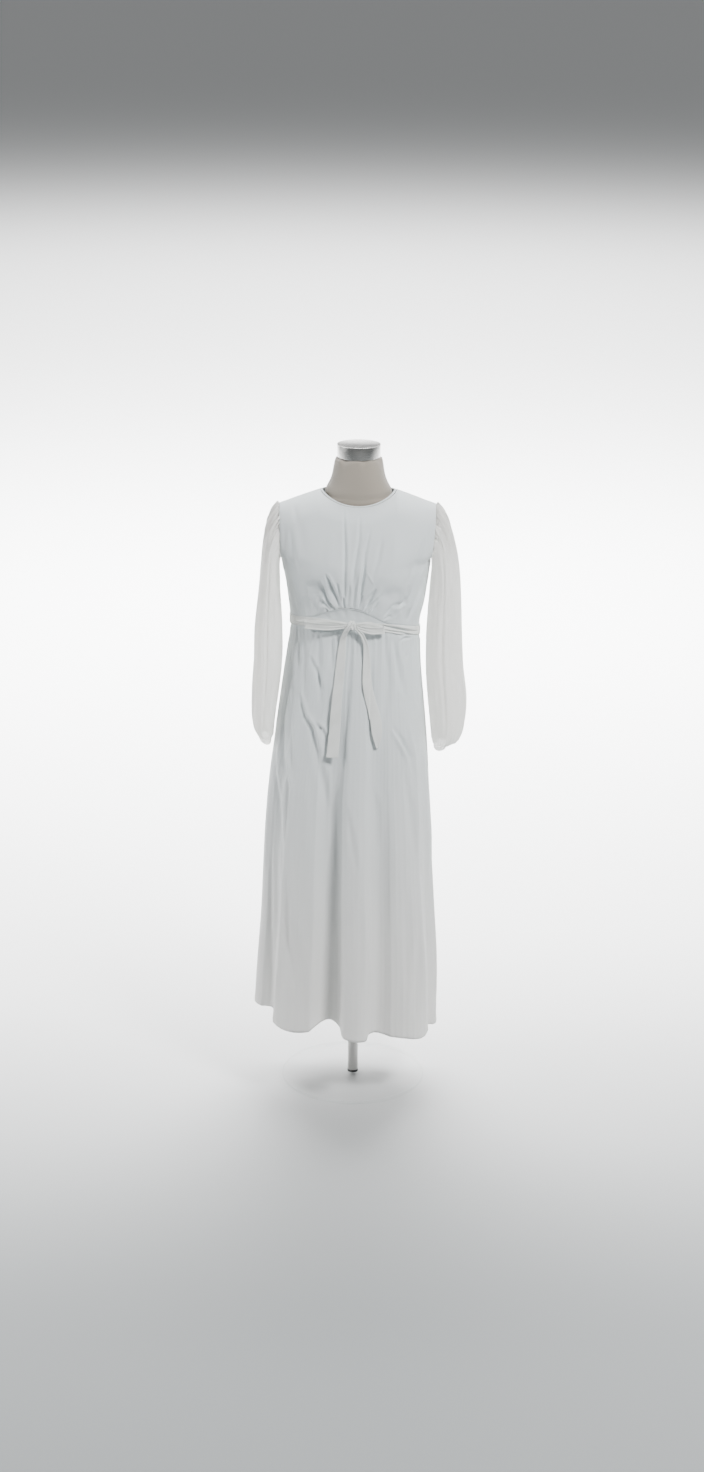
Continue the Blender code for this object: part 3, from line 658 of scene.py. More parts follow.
@dataclass
class WornShape:
    """The smooth outline that the cloth follows, worked out as the solids are."""

    bodice: SectionTable
    skirt: SectionTable
    underarm: float = 1.325
    fullness: float = 0.12
    neck_half_width: float = 0.0880
    neck_height: float = 1.4850
    shoulder_tip: float = 0.1815
    shoulder_tip_height: float = 1.4525
    shoulder_rounding: float = 0.0450
    front_neck_depth: float = 0.0650
    front_neck_drop: float = 0.0130
    back_neck_depth: float = 0.0560
    binding_lean: tuple[float, float, float] = (0.90, 0.70, 0.55)
    bust_out: float = 0.0070
    bust_apart: float = 0.0760
    bust_height: float = 1.3150
    bust_spread: float = 0.0520
    waist: float = 1.1648
    waist_front_rise: float = 0.0282
    waist_flatness: float = 0.60
    waist_tilt: float = 0.0125
    half_band: float = 0.0110
    arch_centre: float = -0.0200
    arch_half_width: float = 0.0980
    arch_rise: float = 0.0280
    arch_flatness: float = 0.75
    hem: float = 0.1900
    hem_tilt: float = 0.0130
    hem_lift: float = 0.25
    fold_shape: float = 0.70

    def waist_height(self, across: Array, face: Array) -> Array:
        """Level of the middle of the belt.

        Args:
            across: share across, -1 to 1.
            face: sign of the face.

        Returns:
            Height of each point.
        """
        arc = np.maximum(1.0 - across * across, 0.0) ** self.waist_flatness
        rise = np.where(np.asarray(face) < 0, self.waist_front_rise * arc, 0.0)
        return self.waist + rise - self.waist_tilt * across

    def bodice_foot(self, across: Array, face: Array) -> Array:
        """Lower edge of the bodice, which arches over the waist panel at the front.

        Args:
            across: share across, -1 to 1.
            face: sign of the face.

        Returns:
            Height of each point.
        """
        height = self.waist_height(across, face) + self.half_band
        left, right = self.bodice.at(height)[:2]
        x = share_to_x(across, left, right)
        arch = self.arch_rise * bump(x - self.arch_centre, self.arch_half_width) ** self.arch_flatness
        return height + np.where(np.asarray(face) < 0, arch, 0.0)

    def body_point(
        self, across: Array, height: Array, face: Array, turn: Array = 0.0
    ) -> Array:
        """Points of the smooth body outline.

        Args:
            across: share across, -1 to 1.
            height: level of each point.
            face: sign of the face.
            turn: turn over the shoulder, up to a right angle.

        Returns:
            Rows of x, y and z.
        """
        left, right, front, back, arm = self.bodice.at(height)
        x = share_to_x(across, left, right)
        reach = arm * across
        depth = np.where(np.asarray(face) < 0, front, back)
        y = depth * np.sqrt(np.maximum(1.0 - reach * reach, 0.0)) * (1.0 + self.fullness * reach * reach)
        bust = 0.0
        for side in Side:
            away = (x - side.value * self.bust_apart) ** 2 + (height - self.bust_height) ** 2
            bust = bust + np.exp(-away / self.bust_spread**2)
        y = y + np.where(np.asarray(face) < 0, self.bust_out * bust * (1.0 - reach**4), 0.0)
        return points(x, face * y * np.cos(turn), height)

    def neck_edge(self, angle: Array, grow: Array = 0.0) -> Array:
        """Points of the neckline.

        Args:
            angle: turn round the neck, 0 at the front centre.
            grow: distance moved in and up.

        Returns:
            Rows of x, y and z.
        """
        angle = np.asarray(angle, float)
        cosine = np.cos(angle)
        face = np.where(cosine > 0, -1.0, 1.0)
        y = np.where(face < 0, self.front_neck_depth, self.back_neck_depth) * np.abs(cosine)
        drop = np.where(face < 0, self.front_neck_drop, 0.0)
        level = self.neck_height - self.shoulder_rounding - drop * cosine**2
        left, right = self.bodice.at(self.shoulder_tip_height)[:2]
        across = x_to_share(self.neck_half_width * np.sin(angle), left, right)
        height = np.full(angle.shape, self.neck_height)
        for _ in range(4):
            full = np.abs(self.body_point(across, height, face)[:, 1])
            height = level + self.shoulder_rounding * np.sqrt(1.0 - np.minimum(y / full, 1.0) ** 2)
        side_lean, front_lean, rise = self.binding_lean
        return points(
            (self.neck_half_width - side_lean * grow) * np.sin(angle),
            face * (y - front_lean * grow * np.abs(cosine)),
            height + rise * grow,
        )

    def shoulder_height(self, x: Array) -> Array:
        """Height of the shoulder seam at a distance from the centre plane."""
        share = (np.abs(x) - self.neck_half_width) / (self.shoulder_tip - self.neck_half_width)
        return blend(self.neck_height, self.shoulder_tip_height, share)

    def bodice_point(self, across: Array, up: Array, face: Array) -> Array:
        """Points of the outer face of the bodice.

        Args:
            across: share across, -1 to 1.
            up: 0 at the waist, 1 at the underarm and 2 at the top edge.
            face: sign of the face.

        Returns:
            Rows of x, y and z.
        """
        across, up = np.broadcast_arrays(np.asarray(across, float), np.asarray(up, float))
        face = np.broadcast_to(np.asarray(face, float), across.shape)
        foot = self.bodice_foot(across, face) + SEAM / 2
        top_x = self.body_point(across, np.full(across.shape, self.shoulder_tip_height), face)[:, 0]
        under_neck = np.abs(top_x) < self.neck_half_width
        angle = np.arcsin(np.clip(top_x / self.neck_half_width, -1.0, 1.0))
        edge = self.neck_edge(np.where(face < 0, angle, np.pi - angle))
        full = np.abs(self.body_point(across, edge[:, 2], face)[:, 1])
        edge_turn = np.arccos(np.minimum(np.abs(edge[:, 1]) / full, 1.0))
        last_turn = np.where(under_neck, edge_turn, np.pi / 2)
        top = np.where(under_neck, edge[:, 2], self.shoulder_height(top_x))
        level = top - self.shoulder_rounding * np.sin(last_turn)
        over = np.clip((up - 1.5) * 2, 0.0, 1.0)
        turn = last_turn * (1.0 - (1.0 - over) ** 2)
        height = np.where(
            up <= 1.0, blend(foot, self.underarm, up), blend(self.underarm, level, (up - 1.0) * 2)
        )
        height = np.where(up > 1.5, level + self.shoulder_rounding * np.sin(turn), height)
        point = self.body_point(across, height, face, np.where(up > 1.5, turn, 0.0))
        point[:, 1] += face * SEAM / 2
        return point

    def neck_corner(self, side: Side) -> float:
        """Share across the bodice where the neckline meets the shoulder seam."""
        left, right = (float(value) for value in self.bodice.at(self.shoulder_tip_height)[:2])
        return x_to_share(side.value * self.neck_half_width, left, right)

    def fold_out(self, hang: Hang, angle: Array, height: Array) -> Array:
        """How far the hanging folds stand out of the smooth skirt.

        Args:
            hang: the panel's folds.
            angle: degrees from the centre of the panel.
            height: level of each point.

        Returns:
            Distance outwards of each point.
        """
        out = np.zeros(len(angle))
        for middle, half_width, rise, start, roundness in hang.folds:
            grown = np.maximum((start - height) / (start - self.hem), 0.0) ** self.fold_shape
            out += rise * bump(angle - middle, half_width) ** roundness * grown
        return out

    def skirt_point(self, hang: Hang, angle: Array, height: Array, face: int, away: Array) -> Array:
        """Outer face of the skirt.

        Args:
            hang: the panel's folds.
            angle: degrees from the centre of the panel.
            height: level of each point.
            face: sign of the face.
            away: distance moved out.

        Returns:
            Rows of x, y and z.
        """
        left, right, front, back = self.skirt.at(height)
        turn = np.radians(angle)
        half = (left + right) / 2
        depth = front if face < 0 else back
        spread = 1.0 + self.fullness * np.sin(turn) ** 2
        outward = unit(points(np.sin(turn) * depth, face * np.cos(turn) * half, 0.0))
        x = (right - left) / 2 + half * np.sin(turn)
        point = points(x, face * depth * np.cos(turn) * spread, height)
        point += outward * (self.fold_out(hang, angle, height) + away)[:, None]
        point[:, 1] += face * SEAM / 2
        return point

    def hem_height(self, hang: Hang, angle: Array) -> Array:
        """Height of the hem, lower on the right and where a fold stands out.

        Args:
            hang: the panel's folds and hem.
            angle: degrees from the centre of the panel.

        Returns:
            Height of the hem at each angle.
        """
        low = np.full(len(angle), self.hem)
        rise = SectionTable(hang.hem).at(angle)[0]
        tilt = self.hem_tilt * np.sin(np.radians(angle))
        return self.hem - tilt + rise - self.hem_lift * self.fold_out(hang, angle, low)


# height, left half, right half, front depth, back depth, share inside the armhole seam
BODICE_SECTIONS = (
    (1.140, 0.1560, 0.1460, 0.1130, 0.0840, 1.00),
    (1.180, 0.1565, 0.1470, 0.1135, 0.0845, 1.00),
    (1.222, 0.1610, 0.1570, 0.1170, 0.0900, 1.00),
    (1.268, 0.1675, 0.1640, 0.1240, 0.0970, 1.00),
    (1.304, 0.1750, 0.1685, 0.1280, 0.1030, 1.00),
    (1.325, 0.1790, 0.1700, 0.1280, 0.1060, 1.00),
    (1.345, 0.1795, 0.1720, 0.1250, 0.1070, 0.93),
    (1.375, 0.1800, 0.1750, 0.1190, 0.1080, 0.90),
    (1.410, 0.1815, 0.1780, 0.1090, 0.1050, 0.90),
    (1.454, 0.1825, 0.1800, 0.0900, 0.0960, 0.91),
    (1.490, 0.1830, 0.1810, 0.0740, 0.0860, 0.91),
)
# height, left half, right half, front depth, back depth
SKIRT_SECTIONS = (
    (0.160, 0.2420, 0.2030, 0.1960, 0.1880),
    (0.324, 0.2350, 0.2010, 0.1880, 0.1790),
    (0.461, 0.2260, 0.1940, 0.1800, 0.1710),
    (0.576, 0.2210, 0.1870, 0.1730, 0.1640),
    (0.672, 0.2150, 0.1830, 0.1670, 0.1560),
    (0.774, 0.2080, 0.1760, 0.1590, 0.1460),
    (0.870, 0.1960, 0.1700, 0.1500, 0.1350),
    (0.950, 0.1860, 0.1630, 0.1410, 0.1240),
    (1.052, 0.1720, 0.1530, 0.1270, 0.1050),
    (1.110, 0.1625, 0.1490, 0.1190, 0.0930),
    (1.152, 0.1560, 0.1462, 0.1135, 0.0845),
    (1.200, 0.1568, 0.1500, 0.1140, 0.0860),
)
FRONT_HANG = Hang(
    folds=(
        (-76.0, 9.0, 0.0070, 1.02, 0.70),
        (-60.0, 8.0, -0.0170, 1.00, 0.50),
        (-38.0, 17.0, 0.0140, 0.98, 0.50),
        (-12.2, 10.4, -0.0450, 1.04, 0.34),
        (5.3, 8.9, 0.0290, 1.12, 0.24),
        (21.0, 9.0, -0.0180, 0.98, 0.60),
        (48.0, 18.0, 0.0160, 1.00, 0.60),
        (69.0, 6.0, -0.0140, 0.96, 0.60),
        (80.0, 7.0, 0.0050, 0.90, 0.70),
    ),
    hem=(
        (-90.0, 0.0170), (-62.0, 0.0140), (-54.0, 0.0090), (-50.0, 0.0000), (-26.0, 0.0000), (-14.0, 0.0080),
        (-4.0, 0.0070), (5.0, 0.0060), (14.0, 0.0010), (22.0, -0.0020), (38.0, -0.0060), (52.0, -0.0130),
        (66.0, -0.0150), (90.0, -0.0180),
    ),
)
BACK_HANG = Hang(
    folds=(
        (-74.0, 10.0, 0.0080, 0.98, 0.60),
        (-57.0, 10.0, -0.0180, 1.02, 0.70),
        (-35.0, 15.0, 0.0190, 1.08, 0.55),
        (-14.0, 11.0, -0.0260, 1.00, 0.70),
        (7.0, 13.0, 0.0210, 1.10, 0.50),
        (29.0, 11.0, -0.0230, 0.96, 0.70),
        (50.0, 14.0, 0.0160, 1.04, 0.60),
        (72.0, 10.0, -0.0110, 0.94, 0.70),
    ),
    hem=(
        (-90.0, 0.0170), (-66.0, 0.0080), (-40.0, 0.0000), (40.0, 0.0000), (66.0, -0.0080), (90.0, -0.0180),
    ),
)
# half width, height and lean of a crease, then its line as points of across and up, in mm but for lean
BODICE_FRONT_CREASES = creases(
    (5, -8, 0.5, (-74, 1316), (-61, 1286), (-50, 1258), (-41, 1236)),
    (5, -6.72, 0.5, (-90, 1300), (-79, 1270), (-68, 1246), (-57, 1229)),
    (4.2, -6.4, 0.4, (-99, 1268), (-81, 1245), (-63, 1226)),
    (6, -3.84, 0.3, (-108, 1270), (-98, 1238), (-86, 1214)),
    (6.5, -2.88, 0, (-119, 1254), (-116, 1232), (-112, 1208)),
    (4.2, -4.8, 0.4, (-48, 1296), (-43, 1267), (-37, 1240)),
    (4.6, -4.48, 0.5, (-33, 1458), (-31, 1410), (-29, 1361), (-30, 1312), (-29, 1248)),
    (4.5, -3.52, 0, (-18, 1290), (-21, 1261), (-22, 1234)),
    (5, -3.84, -0.3, (0, 1312), (-7, 1268), (-11, 1234)),
    (5, -3.52, -0.5, (4, 1444), (2, 1391), (-8, 1329), (-11, 1272)),
    (4.8, -3.52, -0.4, (29, 1420), (16, 1362), (13, 1312), (5, 1250)),
    (4.6, -4.8, -0.4, (16, 1342), (8, 1293), (5, 1256), (0, 1232)),
    (6, -3.2, -0.4, (56, 1402), (47, 1352), (34, 1308)),
    (4.6, -4.8, -0.4, (43, 1282), (27, 1256), (17, 1233)),
    (4.6, -4.48, -0.4, (57, 1266), (36, 1242), (22, 1222)),
    (3, 1.92, 0, (21, 1323), (29, 1307), (37, 1293)),
    (4, -8, 0.5, (117, 1256), (107, 1240), (90, 1230)),
    (4, -6.72, 0.4, (102, 1246), (80, 1231), (62, 1211)),
    (3.2, -4.48, 0.5, (92, 1222), (76, 1212), (60, 1203)),
    (4.2, -9.92, -0.6, (124, 1292), (112, 1256), (105, 1230), (104, 1196)),
    (4.2, -10.56, -0.6, (140, 1322), (129, 1270), (116, 1228), (110, 1192)),
    (4.2, -9.28, -0.5, (154, 1312), (144, 1258), (130, 1224), (117, 1194)),
    (3, -4.8, -0.5, (136, 1236), (124, 1214), (116, 1190)),
    (2.8, -4.16, 0.4, (-66, 1250), (-58, 1236), (-50, 1226)),
    (2.6, -3.84, 0.4, (-76, 1232), (-68, 1222), (-60, 1215)),
    (2.8, -4.16, 0.4, (-34, 1262), (-32, 1246), (-29, 1232)),
    (2.8, -4.16, -0.4, (12, 1266), (6, 1248), (3, 1234)),
    (2.8, -4.48, -0.4, (36, 1262), (24, 1242), (14, 1228)),
    (2.6, -3.84, -0.4, (48, 1248), (36, 1230), (27, 1217)),
    (5.5, -6.4, -0.6, (152, 1392), (136, 1337), (119, 1286), (109, 1254)),
    (6, 3.2, 0, (160, 1350), (150, 1300), (141, 1262)),
    (5, -3.52, 0.4, (-170, 1306), (-164, 1247), (-152, 1190)),
    (6, -3.2, 0.4, (-162, 1300), (-149, 1236), (-136, 1199)),
    (6, -2.56, 0, (-135, 1258), (-127, 1202)),
    (8, -4.16, 0.4, (-156, 1412), (-150, 1351), (-138, 1300)),
    (9, -2.56, 0, (-135, 1436), (-126, 1350)),
    (5.5, -2.56, 0, (-148, 1458), (-140, 1418)),
    (6, -3.2, -0.4, (-170, 1420), (-168, 1350), (-160, 1318)),
    (7, -3.52, 0.4, (168, 1430), (164, 1380), (154, 1330)),
    (12, 2.24, 0, (-62, 1410), (-66, 1350), (-62, 1322)),
    (12, 1.92, 0, (82, 1412), (86, 1356), (80, 1318)),
    (18, -5.44, 0, (-118, 1286), (-88, 1272), (-60, 1276)),
    (18, -4.48, 0, (50, 1268), (78, 1262), (104, 1272)),
)
BODICE_BACK_CREASES = creases(
    (8, -7.2, 0.4, (-130, 1320), (-106, 1262), (-98, 1196)),
    (7, -6.24, 0.4, (-152, 1330), (-138, 1262), (-130, 1188)),
    (8.5, -5.76, -0.4, (-100, 1432), (-128, 1372), (-150, 1336)),
    (9, -5.28, 0, (-60, 1300), (-64, 1240), (-56, 1190)),
    (11, -3.84, 0, (-36, 1400), (-42, 1320), (-34, 1262)),
    (8.5, -6.24, -0.3, (48, 1322), (58, 1250), (52, 1186)),
    (7, -5.28, 0, (88, 1306), (94, 1242), (86, 1192)),
    (7.5, -7.2, -0.4, (142, 1330), (126, 1262), (120, 1188)),
    (8.5, -5.28, 0.4, (112, 1430), (134, 1380), (150, 1338)),
    (12, -3.36, 0, (30, 1410), (28, 1350), (34, 1300)),
)
PANEL_CREASES = creases(
    (6, -1.6, 0, (-52, 1226), (-50, 1206)),
    (5, -1.92, 0.3, (-30, 1230), (-27, 1208)),
    (6, -1.6, 0, (-4, 1230), (-6, 1206)),
    (5.5, -1.6, 0, (20, 1224), (14, 1204)),
    (5, -1.28, 0, (-74, 1216), (-66, 1204)),
)
SKIRT_FRONT_CREASES = creases(
    (5.5, -5.44, 0.7, (-153, 1140), (-155, 1050), (-172, 950), (-170, 856), (-159, 795), (-166, 640)),
    (6, 5.44, -0.6, (-168, 650), (-174, 449), (-184, 311), (-190, 200)),
    (6, -4.8, 0.6, (-193, 935), (-191, 813), (-180, 747), (-169, 560)),
    (7, -5.44, 0.5, (-200, 640), (-202, 445), (-199, 230)),
    (6, 4.16, 0, (-204, 790), (-216, 560)),
    (5, -6.08, 0.8, (-135, 1020), (-121, 969), (-102, 943), (-87, 886)),
    (4.2, -5.44, 0.7, (-96, 958), (-79, 941), (-66, 918)),
    (5.5, -4.16, 0.6, (-110, 1112), (-89, 1066), (-78, 1034)),
    (7.5, -5.44, 0.5, (-86, 1170), (-88, 1083), (-84, 1000)),
    (9.5, -5.44, 0.5, (-112, 964), (-93, 891), (-75, 813), (-66, 745)),
    (4.8, -4.8, -0.7, (83, 950), (106, 915), (134, 858)),
    (4.8, -4.16, -0.6, (99, 930), (124, 877), (137, 824)),
    (6, 5.76, 0.5, (121, 962), (140, 864), (145, 756), (152, 580)),
    (6.5, 5.76, 0.5, (151, 610), (161, 442), (172, 267), (178, 180)),
    (8, -4.48, 0.4, (113, 844), (129, 746), (142, 630)),
    (9.5, -3.84, 0.3, (69, 1130), (73, 1050), (65, 965)),
    (6.5, -3.2, 0.4, (96, 1114), (104, 1059), (116, 1010)),
    (3, 1.6, 0, (80, 1023), (108, 1028)),
    (8, -4.16, 0.6, (-23, 770), (-9, 692), (4, 610)),
    (9, -2.88, 0.4, (36, 816), (49, 753), (49, 650)),
    (10, -5.44, 0.5, (-164, 590), (-159, 417), (-142, 300)),
    (12, -3.84, 0.4, (123, 560), (131, 290)),
    (7, -3.84, 0.4, (183, 640), (195, 220)),
    (4, -3.2, 0.4, (-151, 1110), (-150, 990)),
    (5, -4.16, 0.4, (-138, 1172), (-136, 1070)),
    (7.5, -3.52, 0.4, (-124, 1165), (-122, 1000)),
    (6, -3.84, 0.5, (82, 1160), (96, 1085), (102, 1028)),
    (3.4, -5.44, 0.6, (98, 1146), (111, 1152), (126, 1148)),
    (3.5, -1.92, 0, (105, 1102), (116, 1107), (123, 1118)),
    (6, -3.84, 0.4, (-60, 1168), (-56, 1080)),
    (6, -2.88, 0.4, (64, 1176), (71, 1080)),
    (6, -3.84, 0.4, (128, 1150), (134, 1060), (146, 980)),
    (8.5, -12.8, 0, (-108, 1168), (-70, 1172), (-24, 1174)),
    (5, -3.2, 0.4, (-154, 960), (-150, 820)),
    (12, -4.8, 0.3, (-51, 820), (-46, 580), (-48, 420)),
    (14, 3.52, 0, (-118, 840), (-110, 660), (-112, 520)),
    (15, 3.84, 0, (86, 800), (94, 620), (92, 440)),
    (6.5, -3.52, 0.4, (-12, 1150), (-16, 1040), (-22, 930)),
    (8, -3.2, -0.4, (30, 1120), (34, 1010), (30, 900)),
    (11, -3.2, 0.3, (12, 560), (16, 400), (10, 290)),
    (11, -4.16, 0.3, (-140, 470), (-128, 340), (-126, 230)),
    (9, -3.52, 0.3, (152, 420), (150, 300), (154, 210)),
)
SKIRT_BACK_CREASES = creases(
    (6.5, -8.16, 0.6, (-150, 1120), (-158, 980), (-170, 820), (-176, 600)),
    (6, -7.2, 0.5, (-120, 1140), (-124, 1040), (-132, 930)),
    (9, -7.68, 0.4, (-92, 1130), (-90, 990), (-98, 850)),
    (6, -6.24, 0.4, (-60, 1140), (-62, 1050), (-56, 960)),
    (10, -6.24, 0.3, (-30, 1130), (-26, 960), (-30, 800)),
    (6.5, -6.24, -0.4, (12, 1140), (16, 1030), (12, 930)),
    (9.5, -7.2, -0.4, (44, 1130), (50, 960), (62, 780)),
    (6, -6.72, -0.4, (82, 1140), (86, 1040), (96, 950)),
    (8, -7.68, -0.5, (112, 1130), (120, 960), (130, 760)),
    (6.5, 7.2, 0.4, (136, 1110), (148, 900), (158, 660)),
    (6, -6.72, 0.7, (-70, 900), (-50, 840), (-40, 760)),
    (5.5, -5.76, 0.6, (30, 860), (52, 800), (60, 720)),
    (12, -7.2, 0.3, (-120, 700), (-116, 520), (-122, 360)),
    (12, -6.72, 0.3, (100, 640), (108, 460), (104, 320)),
    (11, -5.76, 0.3, (-14, 600), (-6, 430), (-10, 300)),
    (8, -7.68, 0.5, (-190, 560), (-198, 400), (-200, 250)),
    (8, -6.72, 0.5, (168, 520), (178, 360), (180, 240)),
)
BELT_CREASES = creases(
    (2.8, -2.56, 0.5, (-150, 1178), (-118, 1186), (-92, 1192)),
    (2.4, 1.92, 0, (-140, 1186), (-110, 1197)),
    (2.2, 1.6, 0, (-146, 1172), (-120, 1180)),
    (2.6, -4.8, 0.6, (52, 1192), (92, 1180), (142, 1158)),
    (2.4, 2.88, 0, (70, 1194), (104, 1182), (136, 1168)),
    (2.4, -4.16, 0.5, (58, 1180), (100, 1168), (142, 1148)),
    (2.4, 3.2, 0, (76, 1174), (118, 1158)),
)
# Long soft folds of a sleeve: degrees from the outer side and share down, twice, half width, height, lean
LONG_FOLDS = (
    (62, 0.10, 58, 0.78, 0.0090, -0.00608, 0.5),
    (84, 0.16, 92, 0.93, 0.0080, -0.00640, 0.5),
    (108, 0.08, 118, 0.70, 0.0090, -0.00544, -0.4),
    (128, 0.30, 124, 0.95, 0.0070, -0.00512, 0.5),
    (40, 0.22, 30, 0.90, 0.0095, -0.00512, 0.4),
    (8, 0.12, 4, 0.66, 0.0110, -0.00480, 0.3),
    (14, 0.60, 22, 0.96, 0.0070, -0.00544, -0.4),
    (152, 0.28, 160, 0.84, 0.0090, -0.00480, 0.3),
    (182, 0.36, 176, 0.92, 0.0085, -0.00448, 0.3),
    (208, 0.14, 214, 0.74, 0.0090, -0.00544, -0.4),
    (236, 0.20, 230, 0.94, 0.0080, -0.00608, 0.4),
    (262, 0.10, 268, 0.82, 0.0095, -0.00576, 0.4),
    (288, 0.26, 284, 0.95, 0.0075, -0.00512, -0.4),
    (318, 0.12, 326, 0.86, 0.0090, -0.00576, 0.4),
    (342, 0.34, 338, 0.95, 0.0070, -0.00480, 0.3),
)
# Short gathers at a sleeve's head: degrees, reach down, height
HEAD_GATHERS = (
    (6, 0.13, -0.00960), (17, 0.19, -0.01104), (27, 0.11, -0.00912), (36, 0.22, -0.01056),
    (46, 0.14, -0.00960), (57, 0.24, -0.00960), (68, 0.12, -0.00816), (80, 0.18, -0.00672),
    (94, 0.10, -0.00528), (110, 0.13, -0.00432), (352, 0.16, -0.01056), (341, 0.12, -0.00960),
    (330, 0.20, -0.01104), (318, 0.11, -0.00912), (305, 0.22, -0.00960), (292, 0.14, -0.00864),
    (278, 0.12, -0.00672), (262, 0.15, -0.00528),
)
# station, outer x, outer height, inner x, inner height, half depth
LEFT_SLEEVE = (
    (0.00, 0.1831, 1.4525, 0.1796, 1.3250, 0.0500),
    (0.06, 0.1985, 1.4420, 0.1806, 1.3200, 0.0630),
    (0.13, 0.2095, 1.4180, 0.1816, 1.3120, 0.0690),
    (0.21, 0.2180, 1.3780, 0.1822, 1.2960, 0.0740),
    (0.31, 0.2245, 1.3200, 0.1822, 1.2640, 0.0780),
    (0.42, 0.2325, 1.2380, 0.1792, 1.2080, 0.0820),
    (0.53, 0.2405, 1.1560, 0.1758, 1.1440, 0.0840),
    (0.65, 0.2435, 1.0740, 0.1765, 1.0700, 0.0840),
    (0.77, 0.2475, 0.9960, 0.1850, 0.9940, 0.0820),
    (0.87, 0.2480, 0.9400, 0.1930, 0.9320, 0.0760),
    (0.94, 0.2400, 0.9060, 0.1990, 0.8990, 0.0650),
    (1.00, 0.2280, 0.8950, 0.2010, 0.8815, 0.0470),
)
RIGHT_SLEEVE = (
    (0.00, 0.1806, 1.4525, 0.1706, 1.3250, 0.0500),
    (0.06, 0.1980, 1.4400, 0.1718, 1.3200, 0.0630),
    (0.13, 0.2110, 1.4160, 0.1724, 1.3120, 0.0690),
    (0.21, 0.2240, 1.3720, 0.1722, 1.2960, 0.0740),
    (0.31, 0.2360, 1.3080, 0.1700, 1.2600, 0.0780),
    (0.42, 0.2430, 1.2280, 0.1655, 1.2020, 0.0820),
    (0.53, 0.2475, 1.1460, 0.1620, 1.1380, 0.0840),
    (0.65, 0.2520, 1.0640, 0.1640, 1.0620, 0.0840),
    (0.77, 0.2605, 0.9860, 0.1700, 0.9820, 0.0820),
    (0.87, 0.2580, 0.9260, 0.1765, 0.9160, 0.0760),
    (0.94, 0.2460, 0.8900, 0.1810, 0.8860, 0.0650),
    (1.00, 0.2210, 0.8790, 0.1850, 0.8735, 0.0470),
)
# height, centre x, width, distance from the skirt. The left tail goes up over the knot.
LEFT_TAIL = (
    (0.8800, -0.0545, 0.0270, 0.0034),
    (0.9400, -0.0500, 0.0250, 0.0034),
    (1.0100, -0.0450, 0.0225, 0.0036),
    (1.1200, -0.0350, 0.0185, 0.0045),
    (1.1560, -0.0315, 0.0125, 0.0080),
    (1.1740, -0.0265, 0.0100, 0.0145),
    (1.1880, -0.0200, 0.0092, 0.0205),
    (1.1990, -0.0145, 0.0088, 0.0205),
    (1.2060, -0.0110, 0.0080, 0.0150),
)
RIGHT_TAIL = (
    (0.9030, 0.0490, 0.0060, 0.0036),
    (0.9380, 0.0470, 0.0230, 0.0036),
    (0.9700, 0.0440, 0.0250, 0.0036),
    (1.0480, 0.0245, 0.0215, 0.0040),
    (1.1200, 0.0215, 0.0145, 0.0055),
    (1.1500, 0.0185, 0.0098, 0.0085),
    (1.1720, 0.0100, 0.0088, 0.0135),
    (1.1850, 0.0000, 0.0085, 0.0160),
    (1.1910, -0.0060, 0.0080, 0.0140),
)


@dataclass(frozen=True)
class Surface:
    """A smooth face of the shape and the distance of the real cloth out of it.

    place gives the smooth points at two shares. out gives the distances, from the two shares and
    the smooth points.
    """

    place: Callable[[Array, Array], Array]
    out: Callable[[Array, Array, Array], Array]

    ACROSS_STEP = 0.0005
    ALONG_STEP = 0.001

    def spots(self, across: Array, along: Array) -> tuple[Array, Array, float]:
        """Points of the cloth.

        Args:
            across: first share of each point.
            along: second share of each point.

        Returns:
            The points, their outward ways, and -1 where the shares turn the face inwards, else 1.
        """
        base = self.place(across, along)
        before, after = np.maximum(along - self.ALONG_STEP, 0.0), np.minimum(along + self.ALONG_STEP, 1.0)
        normal = unit(np.cross(
            self.place(across + self.ACROSS_STEP, along) - self.place(across - self.ACROSS_STEP, along),
            self.place(across, after) - self.place(across, before),
        ))
        sign = 1.0 if np.sum((base - base.mean(axis=0)) * normal) > 0 else -1.0
        outward = normal * sign
        return base + outward * self.out(across, along, base)[:, None], outward, sign


@dataclass(frozen=True)
class Cut:
    """The flat cut of a sheet: its size, how it is held, what it rests on, its area and its slot.

    area is given where the cut isn't a rectangle. inside is the size within the seam allowances,
    which scales the UV map, where the cut has them.
    """

    flat: Pair
    held: Held
    rests_on: str = "form_torso"
    area: Optional[float] = None
    slot: str = WHITE
    inside: Optional[Pair] = None

    @property
    def uv_size(self) -> Pair:
        """Size of the UV map."""
        return self.inside or self.flat


@dataclass(frozen=True)
class Stitch:
    """A sewn stitch, drawn as a long bead. pitch is its length with the gap after it."""

    pitch: float = 0.0030
    half_width: float = 0.00022
    half_height: float = 0.00020
    lift: float = 0.00012

    LENGTH_SHARE = 0.72
    WAY_SHARE = 0.3


def row_of(start: float, end: float, along: float, samples: int) -> tuple[Array, Array]:
    """The two shares of even points along a row of cloth."""
    return np.linspace(start, end, samples), np.full(samples, along)


def scale_uvs(bm: BMesh, size: Pair) -> None:
    """Scale the UV map of the cut from shares to metres.

    Args:
        bm: the mesh.
        size: width and length of the cut.
    """
    layer = bm.loops.layers.uv["cut"]
    for face in bm.faces:
        for loop in face.loops:
            loop[layer].uv = (loop[layer].uv[0] * size[0], loop[layer].uv[1] * size[1])


def cloth_grid(grid: tuple[int, int], size: Pair) -> tuple[BMesh, Array, Array]:
    """Make an even grid with its UV map.

    Args:
        grid: columns and rows.
        size: size of the UV map in metres.

    Returns:
        The bmesh and the two shares of its points.
    """
    bm = bmesh.new()
    bm.loops.layers.uv.new("cut")
    bmesh.ops.create_grid(bm, x_segments=grid[0], y_segments=grid[1], size=0.5, calc_uvs=True)
    shares = np.array([vert.co for vert in bm.verts]) + 0.5
    scale_uvs(bm, size)
    return bm, shares[:, 0], shares[:, 1]


